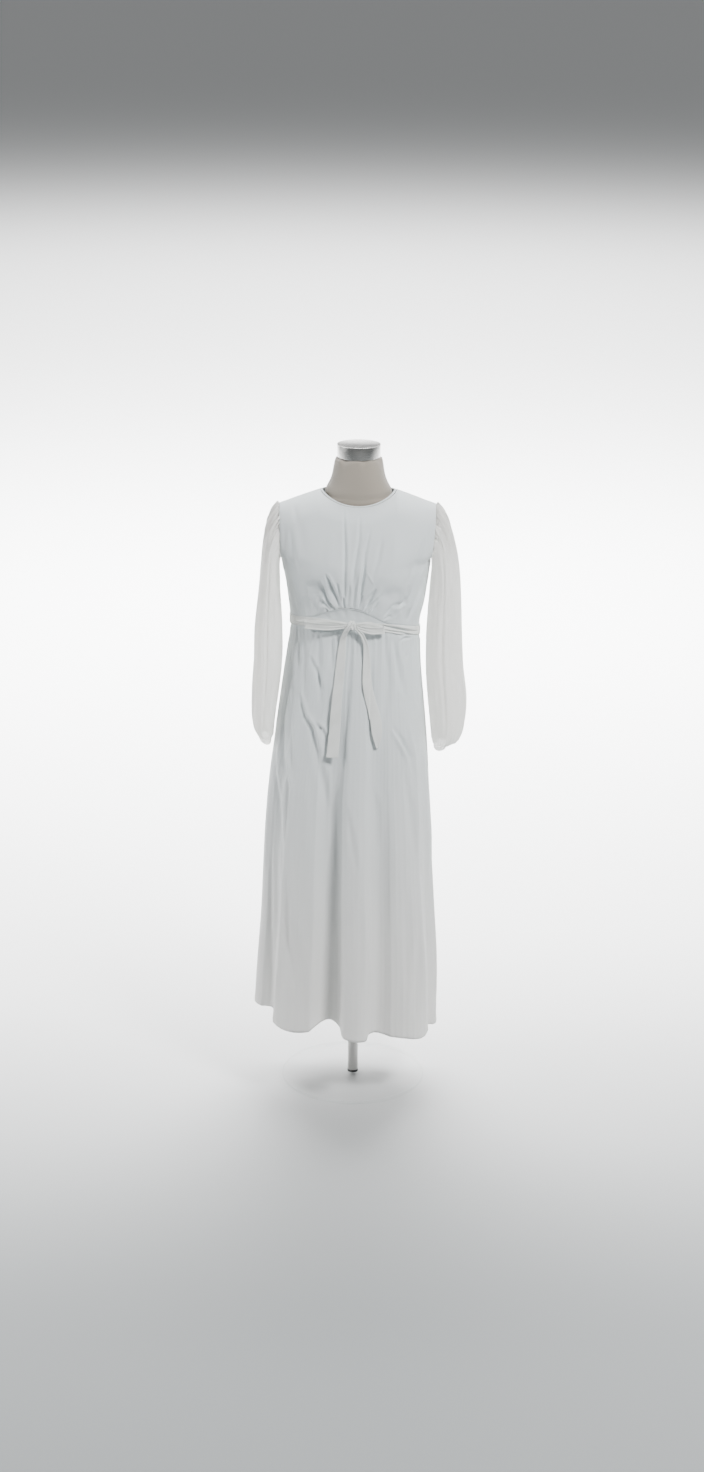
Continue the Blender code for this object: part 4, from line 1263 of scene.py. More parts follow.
def move_verts(bm: BMesh, spots: Array) -> None:
    """Put each vertex at its spot."""
    for vert, spot in zip(bm.verts, spots):
        vert.co = spot


def mend(bm: BMesh) -> None:
    """Merge doubled points and turn all faces outwards."""
    bmesh.ops.remove_doubles(bm, verts=bm.verts[:], dist=MERGE)
    bmesh.ops.recalc_face_normals(bm, faces=bm.faces[:])


class PieceMaker:
    """Makes the pieces, of which cloth is a fine grid placed point by point and given its wall."""

    def __init__(self) -> None:
        """Start with nothing made."""
        self.made: list[bpy.types.Object] = []

    def add(self, name: str, bm: BMesh, material: Material) -> bpy.types.Object:
        """Turn a bmesh into a smooth-shaded object that rides on the body.

        Args:
            name: name of the piece.
            bm: its mesh, which is freed.
            material: its finish.

        Returns:
            The object.
        """
        bm.normal_update()
        mesh = bpy.data.meshes.new(name)
        bm.to_mesh(mesh)
        bm.free()
        mesh.materials.append(material)
        mesh.shade_smooth()
        obj = bpy.data.objects.new(name, mesh)
        bpy.context.scene.collection.objects.link(obj)
        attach(obj, BODY)
        self.made.append(obj)
        LOG.info("%s: %d faces", name, len(mesh.polygons))
        return obj

    def dress(self, obj: bpy.types.Object, node: str, cut: Cut) -> None:
        """Hide the node that a cloth piece replaces.

        Args:
            obj: the piece; not used.
            node: the node that it replaces.
            cut: its flat cut; not used.
        """
        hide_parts(node)

    def sheet(
        self,
        node: str,
        grid: tuple[int, int],
        surface: Surface,
        material: Material,
        cut: Cut,
        closed: bool = False,
        wall: float = 0.0007,
    ) -> None:
        """Make the sheet of cloth that stands for a node.

        Args:
            node: the node, which also gives the piece its name.
            grid: columns and rows.
            surface: the shape of the cloth's outer face.
            material: the cloth.
            cut: its flat cut.
            closed: whether the first and last columns meet.
            wall: thickness, set inwards.
        """
        bm, across, along = cloth_grid(grid, cut.uv_size)
        spots, _, sign = surface.spots(across, along)
        move_verts(bm, spots)
        if sign < 0:
            bmesh.ops.reverse_faces(bm, faces=bm.faces[:])
        if closed:
            bmesh.ops.remove_doubles(bm, verts=bm.verts[:], dist=MERGE)
        obj = self.add(node + "_cloth", bm, material)
        solidify = obj.modifiers.new("wall", "SOLIDIFY")
        solidify.thickness = wall
        solidify.offset = -1.0
        solidify.use_quality_normals = True
        self.dress(obj, node, cut)

    def stitches(
        self,
        name: str,
        rows: Sequence[tuple[Surface, tuple[Array, Array]]],
        material: Material,
        slot: str,
        stitch: Stitch = Stitch(),
    ) -> None:
        """Sew rows of small stitches on made cloth.

        Args:
            name: name of the rows, which are one piece.
            rows: the cloth under each row and the two shares along the row.
            material: the thread.
            slot: the cloth's slot; not used.
            stitch: size of a stitch.
        """
        bm = bmesh.new()
        for surface, shares in rows:
            spots, outward, _ = surface.spots(*shares)
            gone = np.concatenate(([0.0], np.cumsum(np.linalg.norm(np.diff(spots, axis=0), axis=1))))
            centres = np.arange(0.5 * stitch.pitch, gone[-1], stitch.pitch)
            away = stitch.WAY_SHARE * stitch.pitch
            middle, before, after, up = (
                np.stack([np.interp(at, gone, column) for column in values.T], axis=1)
                for at, values in (
                    (centres, spots), (centres - away, spots), (centres + away, spots), (centres, outward),
                )
            )
            for spot, way, out_way in zip(middle, unit(after - before), unit(up)):
                axes = Matrix((
                    way * stitch.LENGTH_SHARE * stitch.pitch / 2,
                    np.cross(out_way, way) * stitch.half_width,
                    out_way * stitch.half_height,
                )).transposed().to_4x4()
                lifted = Matrix.Translation(Vector(spot + out_way * stitch.lift))
                bmesh.ops.create_icosphere(bm, subdivisions=1, radius=1.0, matrix=lifted @ axes)
        self.add(name, bm, material)


@dataclass
class Bodice:
    """Front, backs and neck binding."""

    maker: PieceMaker
    shape: WornShape
    cloth: Material
    thread: Material
    neck_columns: int = 36
    side_columns: int = 8
    back_neck_columns: int = 7
    back_side_columns: int = 6
    rows: tuple[int, int, int] = (5, 3, 4)
    ease: float = 1.5
    gather_spacing: float = 0.0165
    fine_spacing: float = 0.00693
    gather_half_width: float = 0.0900
    gather_out: float = 0.0034
    gather_fan: float = 7.0
    gather_reach: float = 0.040
    reach_spread: float = 0.030
    fine_share: float = 0.35
    fine_reach: float = 0.012
    seam_dip: float = 0.0007
    seam_width: float = 0.012
    binding_tilt: float = 0.9
    binding_pucker: float = 0.00012
    neck_row: float = 0.937
    seam_row: float = 0.0105
    bound_edge: tuple[float, float, float] = (0.0009, 0.0052, 0.0009)

    # Soft undulation of the light cloth between its creases
    HOLLOWS = ((0.0006, 31.0, 9.0, 0.8), (0.00036, 57.0, -13.0, 2.0), (0.0003, 0.0, 23.0, 0.0))

    def across_front(self, share: Array) -> Array:
        """Share across the front for a column, with even columns below the neckline.

        Args:
            share: share over the columns, 0 to 1.

        Returns:
            Share across, -1 to 1.
        """
        left, right = (self.shape.neck_corner(side) for side in (Side.LEFT, Side.RIGHT))
        columns = self.neck_columns + 2 * self.side_columns
        column = np.clip(share, 0.0, 1.0) * columns
        near = np.clip(column / self.side_columns, 0.0, 1.0) ** self.ease
        far = np.clip((columns - column) / self.side_columns, 0.0, 1.0) ** self.ease
        middle = blend(left, right, (column - self.side_columns) / self.neck_columns)
        low = np.sin(blend(-np.pi / 2, math.asin(left), near))
        high = np.sin(blend(np.pi / 2, math.asin(right), far))
        inner = column > self.side_columns + self.neck_columns
        return np.where(column < self.side_columns, low, np.where(inner, high, middle))

    def across_back(self, share: Array, side: Side) -> Array:
        """Share across one back for a column, from the centre seam to the side.

        Args:
            share: share over the columns, 0 to 1.
            side: side of the back.

        Returns:
            Share across, -1 to 1.
        """
        left, right = (float(value) for value in self.shape.bodice.at(self.shape.shoulder_tip_height)[:2])
        centre = -(right - left) / (left + right)
        corner = self.shape.neck_corner(side)
        columns = self.back_neck_columns + self.back_side_columns
        column = np.clip(share, 0.0, 1.0) * columns
        turn = np.clip(column / self.back_neck_columns, 0.0, 1.0) * np.pi / 2
        inner = blend(centre, corner, np.sin(turn))
        away = np.clip((columns - column) / self.back_side_columns, 0.0, 1.0) ** self.ease
        outer = np.sin(blend(side.value * np.pi / 2, math.asin(corner), away))
        return np.where(column <= self.back_neck_columns, inner, outer)

    def up(self, share: Array) -> Array:
        """Row position up the bodice: to the underarm, up the chest and over the shoulder.

        Args:
            share: share over the rows, 0 to 1.

        Returns:
            0 at the waist, 1 at the underarm and 2 at the top edge.
        """
        low, chest, shoulder = self.rows
        row = np.clip(share, 0.0, 1.0) * sum(self.rows)
        above = 1.0 + 0.5 * np.clip((row - low) / chest, 0.0, 1.0) ** 2
        over = 1.5 + 0.5 * (row - low - chest) / shoulder
        return np.where(row <= low, row / low, np.where(row <= low + chest, above, over))

    def gathers(self, spot: Array) -> Array:
        """Uneven gathers that fan up from the arched seam.

        Args:
            spot: smooth points of the front.

        Returns:
            Distance outwards of each point.
        """
        left, right = self.shape.bodice.at(spot[:, 2])[:2]
        across = x_to_share(spot[:, 0], left, right)
        above = np.maximum(spot[:, 2] - self.shape.bodice_foot(across, -1.0), 0.0)
        along = (spot[:, 0] - self.shape.arch_centre) / (1.0 + self.gather_fan * above)
        sides = smoothstep(2.5 * (1.0 - np.abs(along) / self.gather_half_width))
        reach = self.gather_reach + self.reach_spread * np.sin(along * 95.0 + 0.6) ** 2
        fine = self.fine_share * uneven_wave(along, self.fine_spacing, 4.0)
        fine = fine * np.exp(-above / self.fine_reach)
        rise = 0.2 + 0.8 * smoothstep(above / 0.014)
        wave = uneven_wave(along, self.gather_spacing, 1.3) * np.exp(-above / reach) + fine
        return self.gather_out * sides * rise * wave

    def creased(self, made: Sequence[Crease], spot: Array) -> Array:
        """Creases of a panel and the soft hollows between them."""
        x, z = spot[:, 0], spot[:, 2]
        return creases_out(made, x, z) + ripples(self.HOLLOWS, x, z)

    def build(self) -> None:
        """Make the front, the two backs and the binding."""
        self.front()
        for side in Side:
            self.back(side)
        self.binding()

    def front(self) -> None:
        """Make the front, with its stitches under the binding and over the arched seam."""
        columns = self.neck_columns + 2 * self.side_columns

        def place(across: Array, along: Array) -> Array:
            """Smooth face of the front."""
            return self.shape.bodice_point(self.across_front(across), self.up(along), -1.0)

        def out(across: Array, along: Array, spot: Array) -> Array:
            """Creases and gathers, flat at the edges."""
            edge = smoothstep(from_end(across) / 0.03) * smoothstep((1.0 - along) / 0.05)
            return edge * (self.creased(BODICE_FRONT_CREASES, spot) + self.gathers(spot))

        surface = Surface(place, out)
        cut = Cut((0.50, 0.36), Held.GATHERED, area=0.135, inside=(0.50, 0.33))
        self.maker.sheet("bodice_front", (columns * 4, 156), surface, self.cloth, cut)
        edge = self.side_columns / columns
        neck, seam = row_of(edge, 1.0 - edge, self.neck_row, 600), row_of(0.04, 0.96, self.seam_row, 700)
        rows = ((surface, neck), (surface, seam))
        self.maker.stitches("bodice_front_stitches", rows, self.thread, WHITE)

    def back(self, side: Side) -> None:
        """Make the back on one side, with its half of the centre seam.

        Args:
            side: side of the back.
        """

        def place(across: Array, along: Array) -> Array:
            """Smooth face of one back, clear of the centre seam."""
            point = self.shape.bodice_point(self.across_back(across, side), self.up(along), 1.0)
            point[:, 0] += side.value * (1.0 - across) * SEAM / 2
            return point

        def out(across: Array, along: Array, spot: Array) -> Array:
            """Creases, and the dip along the centre seam."""
            edge = smoothstep(across / 0.06) * smoothstep((1.0 - across) / 0.04)
            seam = -self.seam_dip * bell(across, self.seam_width)
            return edge * smoothstep((1.0 - along) / 0.05) * self.creased(BODICE_BACK_CREASES, spot) + seam

        cut = Cut((0.23, 0.34), Held.HUNG, area=0.062, inside=(0.23, 0.32))
        self.maker.sheet("bodice_back_" + side.word, (80, 132), Surface(place, out), self.cloth, cut)

    def binding(self) -> None:
        """Rounded bound edge round the neck, a closed tube flattened along the neckline."""
        low, high, thick = self.bound_edge
        cut = Cut((0.50, 0.012), Held.FOLDED, "bodice_front", area=0.0024)
        bm, across, along = cloth_grid((360, 12), cut.uv_size)
        angle = across * 2 * np.pi - np.pi
        turn = along * 2 * np.pi
        middle = self.shape.neck_edge(angle, (low + high) / 2 + (high - low) / 2 * np.cos(turn))
        outward = unit(points(np.sin(angle), -np.cos(angle), self.binding_tilt))
        spots = middle + outward * (thick * (np.sin(turn) - 0.2))[:, None]
        spots[:, 2] += self.binding_pucker * np.sin(across * 2 * np.pi * 150)
        move_verts(bm, spots)
        mend(bm)
        self.maker.dress(self.maker.add("neck_binding_cloth", bm, self.cloth), "neck_binding", cut)


@dataclass
class Waist:
    """Arched front panel and plain back band, under the belt."""

    maker: PieceMaker
    shape: WornShape
    cloth: Material
    piping_out: float = 0.0020
    piping_width: float = 0.0020
    panel_height: float = 0.045
    band_wave: float = 0.0003

    def build(self) -> None:
        """Make both pieces."""
        panel = Surface(self.placed(Face.FRONT), self.panel_out)
        band = Surface(self.placed(Face.BACK), self.band_out)
        cut = Cut((0.36, 0.062), Held.STRETCHED, area=0.0150)
        self.maker.sheet("waist_panel_front", (160, 24), panel, self.cloth, cut)
        self.maker.sheet("waist_band_back", (110, 12), band, self.cloth, Cut((0.34, 0.022), Held.STRETCHED))

    def placed(self, face: Face) -> Callable[[Array, Array], Array]:
        """The smooth face of the panel or the band.

        Args:
            face: front for the panel, back for the band.

        Returns:
            The smooth face as a function.
        """
        sign = float(face.value)

        def place(across: Array, along: Array) -> Array:
            """Smooth face from the skirt's seam up to the bodice's."""
            share = np.sin((np.clip(across, 0.0, 1.0) - 0.5) * np.pi)
            low = self.shape.waist_height(share, sign) - self.shape.half_band + SEAM / 2
            height = blend(low, self.shape.bodice_foot(share, sign) - SEAM / 2, along)
            point = self.shape.body_point(share, height, sign)
            point[:, 1] += sign * SEAM / 2
            return point

        return place

    def panel_out(self, across: Array, along: Array, spot: Array) -> Array:
        """Creases of the panel and the raised seam along its arch.

        Args:
            across: first share of each point.
            along: second share of each point.
            spot: smooth points of the panel.

        Returns:
            Distance outwards of each point.
        """
        below = (1.0 - along) * self.panel_height
        ends = smoothstep(across * (1 - across) * 40)
        piping = self.piping_out * bell(below, self.piping_width) * ends
        return smoothstep(along / 0.15) * creases_out(PANEL_CREASES, spot[:, 0], spot[:, 2]) + piping

    def band_out(self, across: Array, along: Array, spot: Array) -> Array:
        """Faint waves of the band."""
        return self.band_wave * np.sin(across * 90.0)


@dataclass
class Skirt:
    """Front and back panels with their hanging folds, gathers, creases and turned hem."""

    maker: PieceMaker
    shape: WornShape
    cloth: Material
    thread: Material
    row_ease: float = 1.35
    hem_depth: float = 0.0095
    hem_out: float = 0.0006
    hem_row: float = 0.0074
    gather_out: float = 0.0030
    gather_spacing: float = 0.0155
    fine_out: float = 0.0010
    fine_spacing: float = 0.0062
    round_scale: float = 0.0026
    gather_reach: float = 0.045
    reach_spread: float = 0.055
    fine_reach: float = 0.022
    pucker_out: float = 0.0007
    pucker_reach: float = 0.007
    streak_out: float = 0.0005
    narrow_out: float = 0.0003
    side_deg: float = 6.0

    def build(self) -> None:
        """Make the two panels."""
        front = Cut((0.86, 1.04), Held.GATHERED, area=0.60)
        back = Cut((0.84, 1.02), Held.GATHERED, area=0.58)
        self.panel(Face.FRONT, FRONT_HANG, SKIRT_FRONT_CREASES, (220, 190), front, 0.7)
        self.panel(Face.BACK, BACK_HANG, SKIRT_BACK_CREASES, (190, 160), back, 2.9)

    def panel(
        self, face: Face, hang: Hang, made: Sequence[Crease], grid: tuple[int, int], cut: Cut, seed: float
    ) -> None:
        """Make one panel and the stitches of its hem.

        Args:
            face: the panel's face.
            hang: its folds and hem.
            made: its creases.
            grid: columns and rows.
            cut: its flat cut.
            seed: phase of its gathers and waves.
        """
        sign = face.value
        slow = ((0.0007, 47.0, 3.0, seed), (0.00049, 83.0, -5.0, 2.0 * seed), (0.0004, 12.0, 19.0, 0.0))

        def top(angle: Array) -> Array:
            """Height of the panel's upper edge."""
            return self.shape.waist_height(np.sin(np.radians(angle)), sign) - self.shape.half_band

        def place(across: Array, along: Array) -> Array:
            """Smooth face with its hanging folds, from the hem up."""
            angle = (np.clip(across, 0.0, 1.0) - 0.5) * 180
            share = np.clip(1.0 - along, 0.0, 1.0) ** self.row_ease
            height = blend(top(angle) - SEAM / 2, self.shape.hem_height(hang, angle), share)
            return self.shape.skirt_point(hang, angle, height, sign, 0.0 * angle)

        def out(across: Array, along: Array, spot: Array) -> Array:
            """Gathers, creases, soft waves and the turned hem."""
            x, z = spot[:, 0], spot[:, 2]
            angle = (across - 0.5) * 180
            below = np.maximum(top(angle) - z, 0.0)
            round_way = angle * self.round_scale
            reach = self.gather_reach + self.reach_spread * np.sin(round_way * 41.0 + seed) ** 2
            wide = uneven_wave(round_way, self.gather_spacing, seed) * np.exp(-below / reach)
            fine = uneven_wave(round_way, self.fine_spacing, seed + 2.0) * np.exp(-below / self.fine_reach)
            gather = (self.gather_out * wide + self.fine_out * fine) * smoothstep(below / 0.012)
            above = z - self.shape.hem_height(hang, angle)
            turned = self.hem_out * smoothstep((self.hem_depth - above) / 0.0012)
            pucker = self.pucker_out * np.sin(round_way * 520.0 + 2.0 * np.sin(round_way * 140.0))
            pucker *= bell(above - self.hem_depth, self.pucker_reach)
            streak = np.sin(angle * 1.9 + 2.0 * np.sin(angle * 0.23 + seed))
            streak *= 0.6 + 0.4 * np.sin(7.0 * z + angle)
            narrow = np.sin(angle * 3.7 + 3.0 * np.sin(angle * 0.31))
            soft = ripples(slow, x, z) + self.streak_out * streak + self.narrow_out * narrow
            soft = soft * smoothstep(below / 0.05)
            side = smoothstep((90.0 - np.abs(angle)) / self.side_deg)
            return side * (gather + creases_out(made, x, z) + soft + pucker) + turned

        name = "skirt_" + face.name.lower()
        surface = Surface(place, out)
        self.maker.sheet(name, grid, surface, self.cloth, cut)
        hem = row_of(0.004, 0.996, self.hem_row, 1500)
        self.maker.stitches(name + "_hem_stitches", ((surface, hem),), self.thread, WHITE)


@dataclass
class Sleeve:
    """One full sleeve, gathered at its head and into a narrow cuff."""

    maker: PieceMaker
    shape: WornShape
    cloth: Material
    thread: Material
    side: Side
    rings: SectionTable
    cuff_end: tuple[float, float, float, float]
    head_share: float = 0.42
    head_length: float = 0.16
    armhole_gap: float = 0.0011
    head_gap: float = 0.0002
    girth: float = 0.075
    length: float = 0.575
    cuff_start: float = 0.05
    cuff_row: float = 0.14
    gather_half_width: float = 0.0034
    gather_lean: float = 0.6
    low_out: float = 0.0042
    low_gathers: float = 23.0
    low_fine_out: float = 0.0010
    low_fine_gathers: float = 51.0
    head_out: float = 0.0012
    head_gathers: float = 64.0
    head_reach: float = 0.13
    cuff_round: float = 0.0006
    cuff_in: float = 0.0004
    pucker_out: float = 0.0008
    puckers: float = 46.0
    frill_out: float = 0.0011
    frills: int = 34

    # Slow waves round and down the sleeve
    SOFT = ((0.0006, 88.0, 9.0, 0.0), (0.0006, 50.0, -17.0, 1.0))

    def ring(self, angle: Array, station: Array) -> Array:
        """Points of the sleeve's smooth rings.

        Args:
            angle: turn round the sleeve, 0 on the outer side.
            station: share down the sleeve.

        Returns:
            Rows of x, y and z.
        """
        outer_x, outer_z, inner_x, inner_z, depth = self.rings.at(station)
        outer = points(self.side.value * outer_x, 0.0, outer_z)
        inner = points(self.side.value * inner_x, 0.0, inner_z)
        reach = (outer - inner) / 2 * np.cos(angle)[:, None]
        return (outer + inner) / 2 + reach + points(0.0, -depth * np.sin(angle), 0.0)

    def armhole(self, angle: Array) -> Array:
        """Points of the armhole seam.

        Args:
            angle: turn round it, 0 at the shoulder and pi at the underarm.

        Returns:
            Rows of x, y and z.
        """
        angle = np.mod(angle, 2 * np.pi)
        share = np.where(angle <= np.pi, angle / np.pi, 2.0 - angle / np.pi)
        face = np.where(np.sin(angle) >= 0, -1.0, 1.0)
        top = 2.0 - 0.5 * np.sqrt(share / self.head_share)
        low = 1.0 + 0.5 * np.clip((1.0 - share) / (1.0 - self.head_share), 0.0, 1.0) ** 2
        up = np.where(share < self.head_share, top, low)
        point = self.shape.bodice_point(np.full(len(angle), float(self.side.value)), up, face)
        head = self.head_gap * np.maximum(np.cos(angle), 0.0) ** 2
        point[:, 0] += self.side.value * (self.armhole_gap + head)
        point[:, 1] -= face * SEAM / 2
        return point

    def creases(self) -> list[Crease]:
        """The long folds and head gathers.

        Returns:
            Creases in arc length and length down.
        """

        def line(*spots: Pair) -> tuple[Pair, ...]:
            """Arc length and length down, from degrees and share down."""
            return tuple((math.radians(turn) * self.girth, down * self.length) for turn, down in spots)

        made = []
        shift = 9.0 if self.side is Side.RIGHT else 0.0
        for first, start, last, end, half_width, height, lean in LONG_FOLDS:
            middle = (first + last) / 2 + 3.0 * self.side.value
            way = line((first + shift, start), (middle + shift, (start + end) / 2), (last + shift, end))
            made.append(Crease(way, half_width, height, lean))
        for degrees, reach, height in HEAD_GATHERS:
            slant = 5.0 * math.sin(degrees * 0.7 + self.side.value)
            way = line((degrees, -0.06), (degrees + slant, reach * 0.5), (degrees + 1.6 * slant, reach))
            made.append(Crease(way, self.gather_half_width, height, self.gather_lean))
        return made

    def build(self) -> None:
        """Make the sleeve and its cuff."""
        made = self.creases()
        whole = 2 * math.pi * self.girth

        def place(across: Array, along: Array) -> Array:
            """Smooth face, from the armhole seam into the sleeve's own rings."""
            angle = across * 2 * np.pi
            share = smoothstep(along / self.head_length)[:, None]
            return blend(self.armhole(angle), self.ring(angle, along), share)

        def out(across: Array, along: Array, spot: Array) -> Array:
            """Creases, gathers at both ends and soft waves."""
            total = np.zeros(len(across))
            for turn in (-whole, 0.0, whole):
                total += creases_out(made, across * whole + turn, along * self.length)
            near_cuff = smoothstep((along - 0.82) / 0.18)
            low = uneven_wave(across, 1.0 / self.low_gathers, 1.1 + self.side.value)
            low = self.low_out * near_cuff * low
            low += self.low_fine_out * near_cuff**3 * uneven_wave(across, 1.0 / self.low_fine_gathers, 2.0)
            upper = 0.35 + 0.65 * np.maximum(np.cos(across * 2 * np.pi), 0.0)
            fine = self.head_out * upper * smoothstep((self.head_reach - along) / self.head_reach)
            fine = fine * uneven_wave(across, 1.0 / self.head_gathers, 0.4)
            soft = ripples(self.SOFT, across, along) * smoothstep(along / 0.2)
            ends = smoothstep(along / 0.03) * (1.0 - 0.8 * smoothstep((along - 0.96) / 0.04))
            body = 1.0 - smoothstep((along - 0.80) / 0.2)
            return ends * (total * body + low + fine + soft * body)

        name = "sleeve_" + self.side.word
        cut = Cut((0.50, 0.60), Held.GATHERED, "bodice_front", 0.26, SHEER, (0.49, 0.58))
        self.maker.sheet(name, (216, 150), Surface(place, out), self.cloth, cut, closed=True)
        self.cuff()

    def cuff(self) -> None:
        """Narrow puckered channel with elastic, open at the wrist."""
        end_outer_x, end_outer_z, end_inner_x, end_inner_z = self.cuff_end

        def place(across: Array, along: Array) -> Array:
            """Smooth channel from the sleeve's last ring to the wrist."""
            angle = across * 2 * np.pi
            top = self.ring(angle, np.ones(len(angle)))
            outer = np.array((self.side.value * end_outer_x, 0.0, end_outer_z))
            inner = np.array((self.side.value * end_inner_x, 0.0, end_inner_z))
            depth = float(self.rings.values[-1][4])
            low = (outer + inner) / 2 + (outer - inner) / 2 * np.cos(angle)[:, None]
            low[:, 1] = -depth * np.sin(angle)
            return blend(top, low, blend(self.cuff_start, 1.0, along)[:, None])

        def out(across: Array, along: Array, spot: Array) -> Array:
            """Rounded channel with puckers and a frilled edge."""
            round_it = self.cuff_round * np.sin(np.pi * along)
            edges = (0.5 + 0.5 * np.cos(2 * np.pi * along)) ** 0.5
            pucker = self.pucker_out * uneven_wave(across, 1.0 / self.puckers, 0.9) * edges
            frill = self.frill_out * np.sin(across * 2 * np.pi * self.frills + 1.5 * np.sin(across * 31))
            return round_it + pucker + frill * smoothstep((along - 0.7) / 0.3) - self.cuff_in

        name = "cuff_" + self.side.word
        surface = Surface(place, out)
        cut = Cut((0.20, 0.012), Held.GATHERED, "sleeve_" + self.side.word, slot=SHEER)
        self.maker.sheet(name, (240, 14), surface, self.cloth, cut, closed=True)
        row = row_of(0.001, 0.999, self.cuff_row, 700)
        self.maker.stitches(name + "_stitches", ((surface, row),), self.thread, SHEER, Stitch(0.0026))


@dataclass
class Belt:
    """Belt, knot, loops and tails."""

    maker: PieceMaker
    shape: WornShape
    cloth: Material
    half_height: float = 0.0110
    thickness: float = 0.0016
    knot_centre: float = -0.0130
    knot_size: tuple[float, float, float] = (0.021, 0.018, 0.022)
    knot_clearance: float = 0.0014
    loop_width: float = 0.0165
    loop_root_width: float = 0.0110
    loop_root_share: float = 0.70
    loop_widening: float = 1.5
    loop_away: float = 0.0125
    loop_straight: float = 0.36
    waist_half_width: float = 0.1515
    gather_reach: float = 0.055
    gather_share: float = 0.70
    knot_cuts: int = 23
    knot_square: float = 3.2
    ribbon_wall: float = 0.0010
    band_round: float = 0.0007
    knot_turns: float = 0.0011
    knot_pinch: float = 0.0016
    loop_pleat: float = 0.0011
    loop_hollow: float = 0.0016
    loop_edge: float = 0.0006
    tail_pleat: float = 0.0014
    tail_curl: float = 0.0012
    tail_hem: float = 0.0004

    # Slow waves round and up the belt
    SOFT = ((0.0004, 54.9, 5.0, 0.0), (0.0003, 128.7, -3.0, 0.0))

    def surface(self, x: Array, height: Array, away: Array) -> Array:
        """Points on the front of the waist.

        Args:
            x: place across.
            height: level of each point.
            away: distance out of the outline.

        Returns:
            Rows of x, y and z.
        """
        left, right, front = self.shape.bodice.at(height)[:3]
        half = (left + right) / 2
        across = x_to_share(x, left, right)
        point = self.shape.body_point(across, height, -1.0)
        outward = unit(points(across * front, -np.sqrt(np.maximum(1.0 - across * across, 0.0)) * half, 0.0))
        return point + outward * np.asarray(away).reshape(-1, 1)

    def knot_place(self) -> Array:
        """Place of the knot, clear of the belt behind it.

        Returns:
            Centre of the knot.
        """
        x = np.array([self.knot_centre])
        level = self.shape.waist_height(x / self.waist_half_width, -1.0)
        surface = self.surface(x, level, self.thickness + SEAM + self.knot_clearance)[0]
        return surface + np.array((0.0, -self.knot_size[1] / 2, 0.0))

    def build(self) -> None:
        """Make the belt, the knot, the loops and the tails."""
        self.band()
        self.knot()
        self.loop(Side.LEFT, reach=-0.0900, thick=0.0056, rise=-0.0035, gape=0.0036)
        self.loop(Side.RIGHT, reach=0.0620, thick=0.0066, rise=-0.0020, gape=0.0052)
        self.tail(Side.LEFT, LEFT_TAIL, 0.4)
        self.tail(Side.RIGHT, RIGHT_TAIL, 2.2)

    def band(self) -> None:
        """Folded band round the waist with soft lengthwise wrinkles."""
        away = self.thickness + SEAM * 1.5

        def place(across: Array, along: Array) -> Array:
            """Folded band round the waist, drawn in at the knot."""
            angle = (across - 0.5) * 2 * np.pi
            face = np.where(np.cos(angle) >= 0, -1.0, 1.0)
            share = np.sin(angle)
            middle = self.shape.waist_height(share, face)
            x = self.shape.body_point(share, middle, face)[:, 0]
            drawn_in = np.where(face < 0, bell(x - self.knot_centre, self.gather_reach), 0.0)
            top = self.half_height * (1.0 - self.gather_share * drawn_in)
            level = middle + blend(-self.half_height, top, along)
            point = self.shape.body_point(share, level, face)
            front, back = self.shape.bodice.at(level)[2:4]
            depth = np.where(face < 0, front, back)
            outward = unit(points(share * depth, -np.cos(angle) * self.waist_half_width, 0.0))
            point += outward * away
            point[:, 1] += face * SEAM / 2
            return point

        def out(across: Array, along: Array, spot: Array) -> Array:
            """Rounded face with its wrinkles."""
            front = (spot[:, 1] < 0).astype(float)
            creased = front * creases_out(BELT_CREASES, spot[:, 0], spot[:, 2])
            arc = np.sin(np.pi * along)
            return self.band_round * arc**0.6 + creased + ripples(self.SOFT, across, along) * arc

        cut = Cut((0.88, 0.022), Held.STRETCHED, "waist_panel_front")
        self.maker.sheet("belt", (420, 22), Surface(place, out), self.cloth, cut, True, 0.0014)

    def knot(self) -> None:
        """Soft knot: a rounded block with the wrapped turns of the belt over it."""
        bm = bmesh.new()
        bm.loops.layers.uv.new("cut")
        bmesh.ops.create_cube(bm, size=1.0, calc_uvs=True)
        bmesh.ops.subdivide_edges(bm, edges=bm.edges[:], cuts=self.knot_cuts, use_grid_fill=True)
        scale_uvs(bm, (0.06, 0.06))
        size = np.array(self.knot_size)
        spots = np.array([vert.co for vert in bm.verts]) * 2.0
        power = self.knot_square
        cube = spots / (np.sum(np.abs(spots) ** power, axis=1, keepdims=True) ** (1 / power))
        slant = cube[:, 0] * 0.9 + cube[:, 2] * 0.25
        turns = self.knot_turns * np.cos(slant * 7.2 + 0.7) - self.knot_turns
        pinch = -self.knot_pinch * bell(cube[:, 2] - 0.85, 0.35) * (1.0 - np.abs(cube[:, 0]))
        move_verts(bm, cube * size / 2 + unit(cube / size) * (turns + pinch)[:, None] + self.knot_place())
        cut = Cut((0.085, 0.022), Held.FOLDED, "belt", area=0.0008)
        self.maker.dress(self.maker.add("bow_knot_cloth", bm, self.cloth), "bow_knot", cut)

    def loop(self, side: Side, reach: float, thick: float, rise: float, gape: float) -> None:
        """Make a loop: a ribbon that leaves the knot and comes back behind itself.

        Args:
            side: side of the knot.
            reach: how far out it goes, with the side's sign.
            thick: half the distance between its two runs.
            rise: rise of its end over the belt's slope.
            gape: how far its mouth opens up and down.
        """
        sign = float(side.value)
        start = self.knot_centre + sign * (self.knot_size[0] / 2 + SEAM)

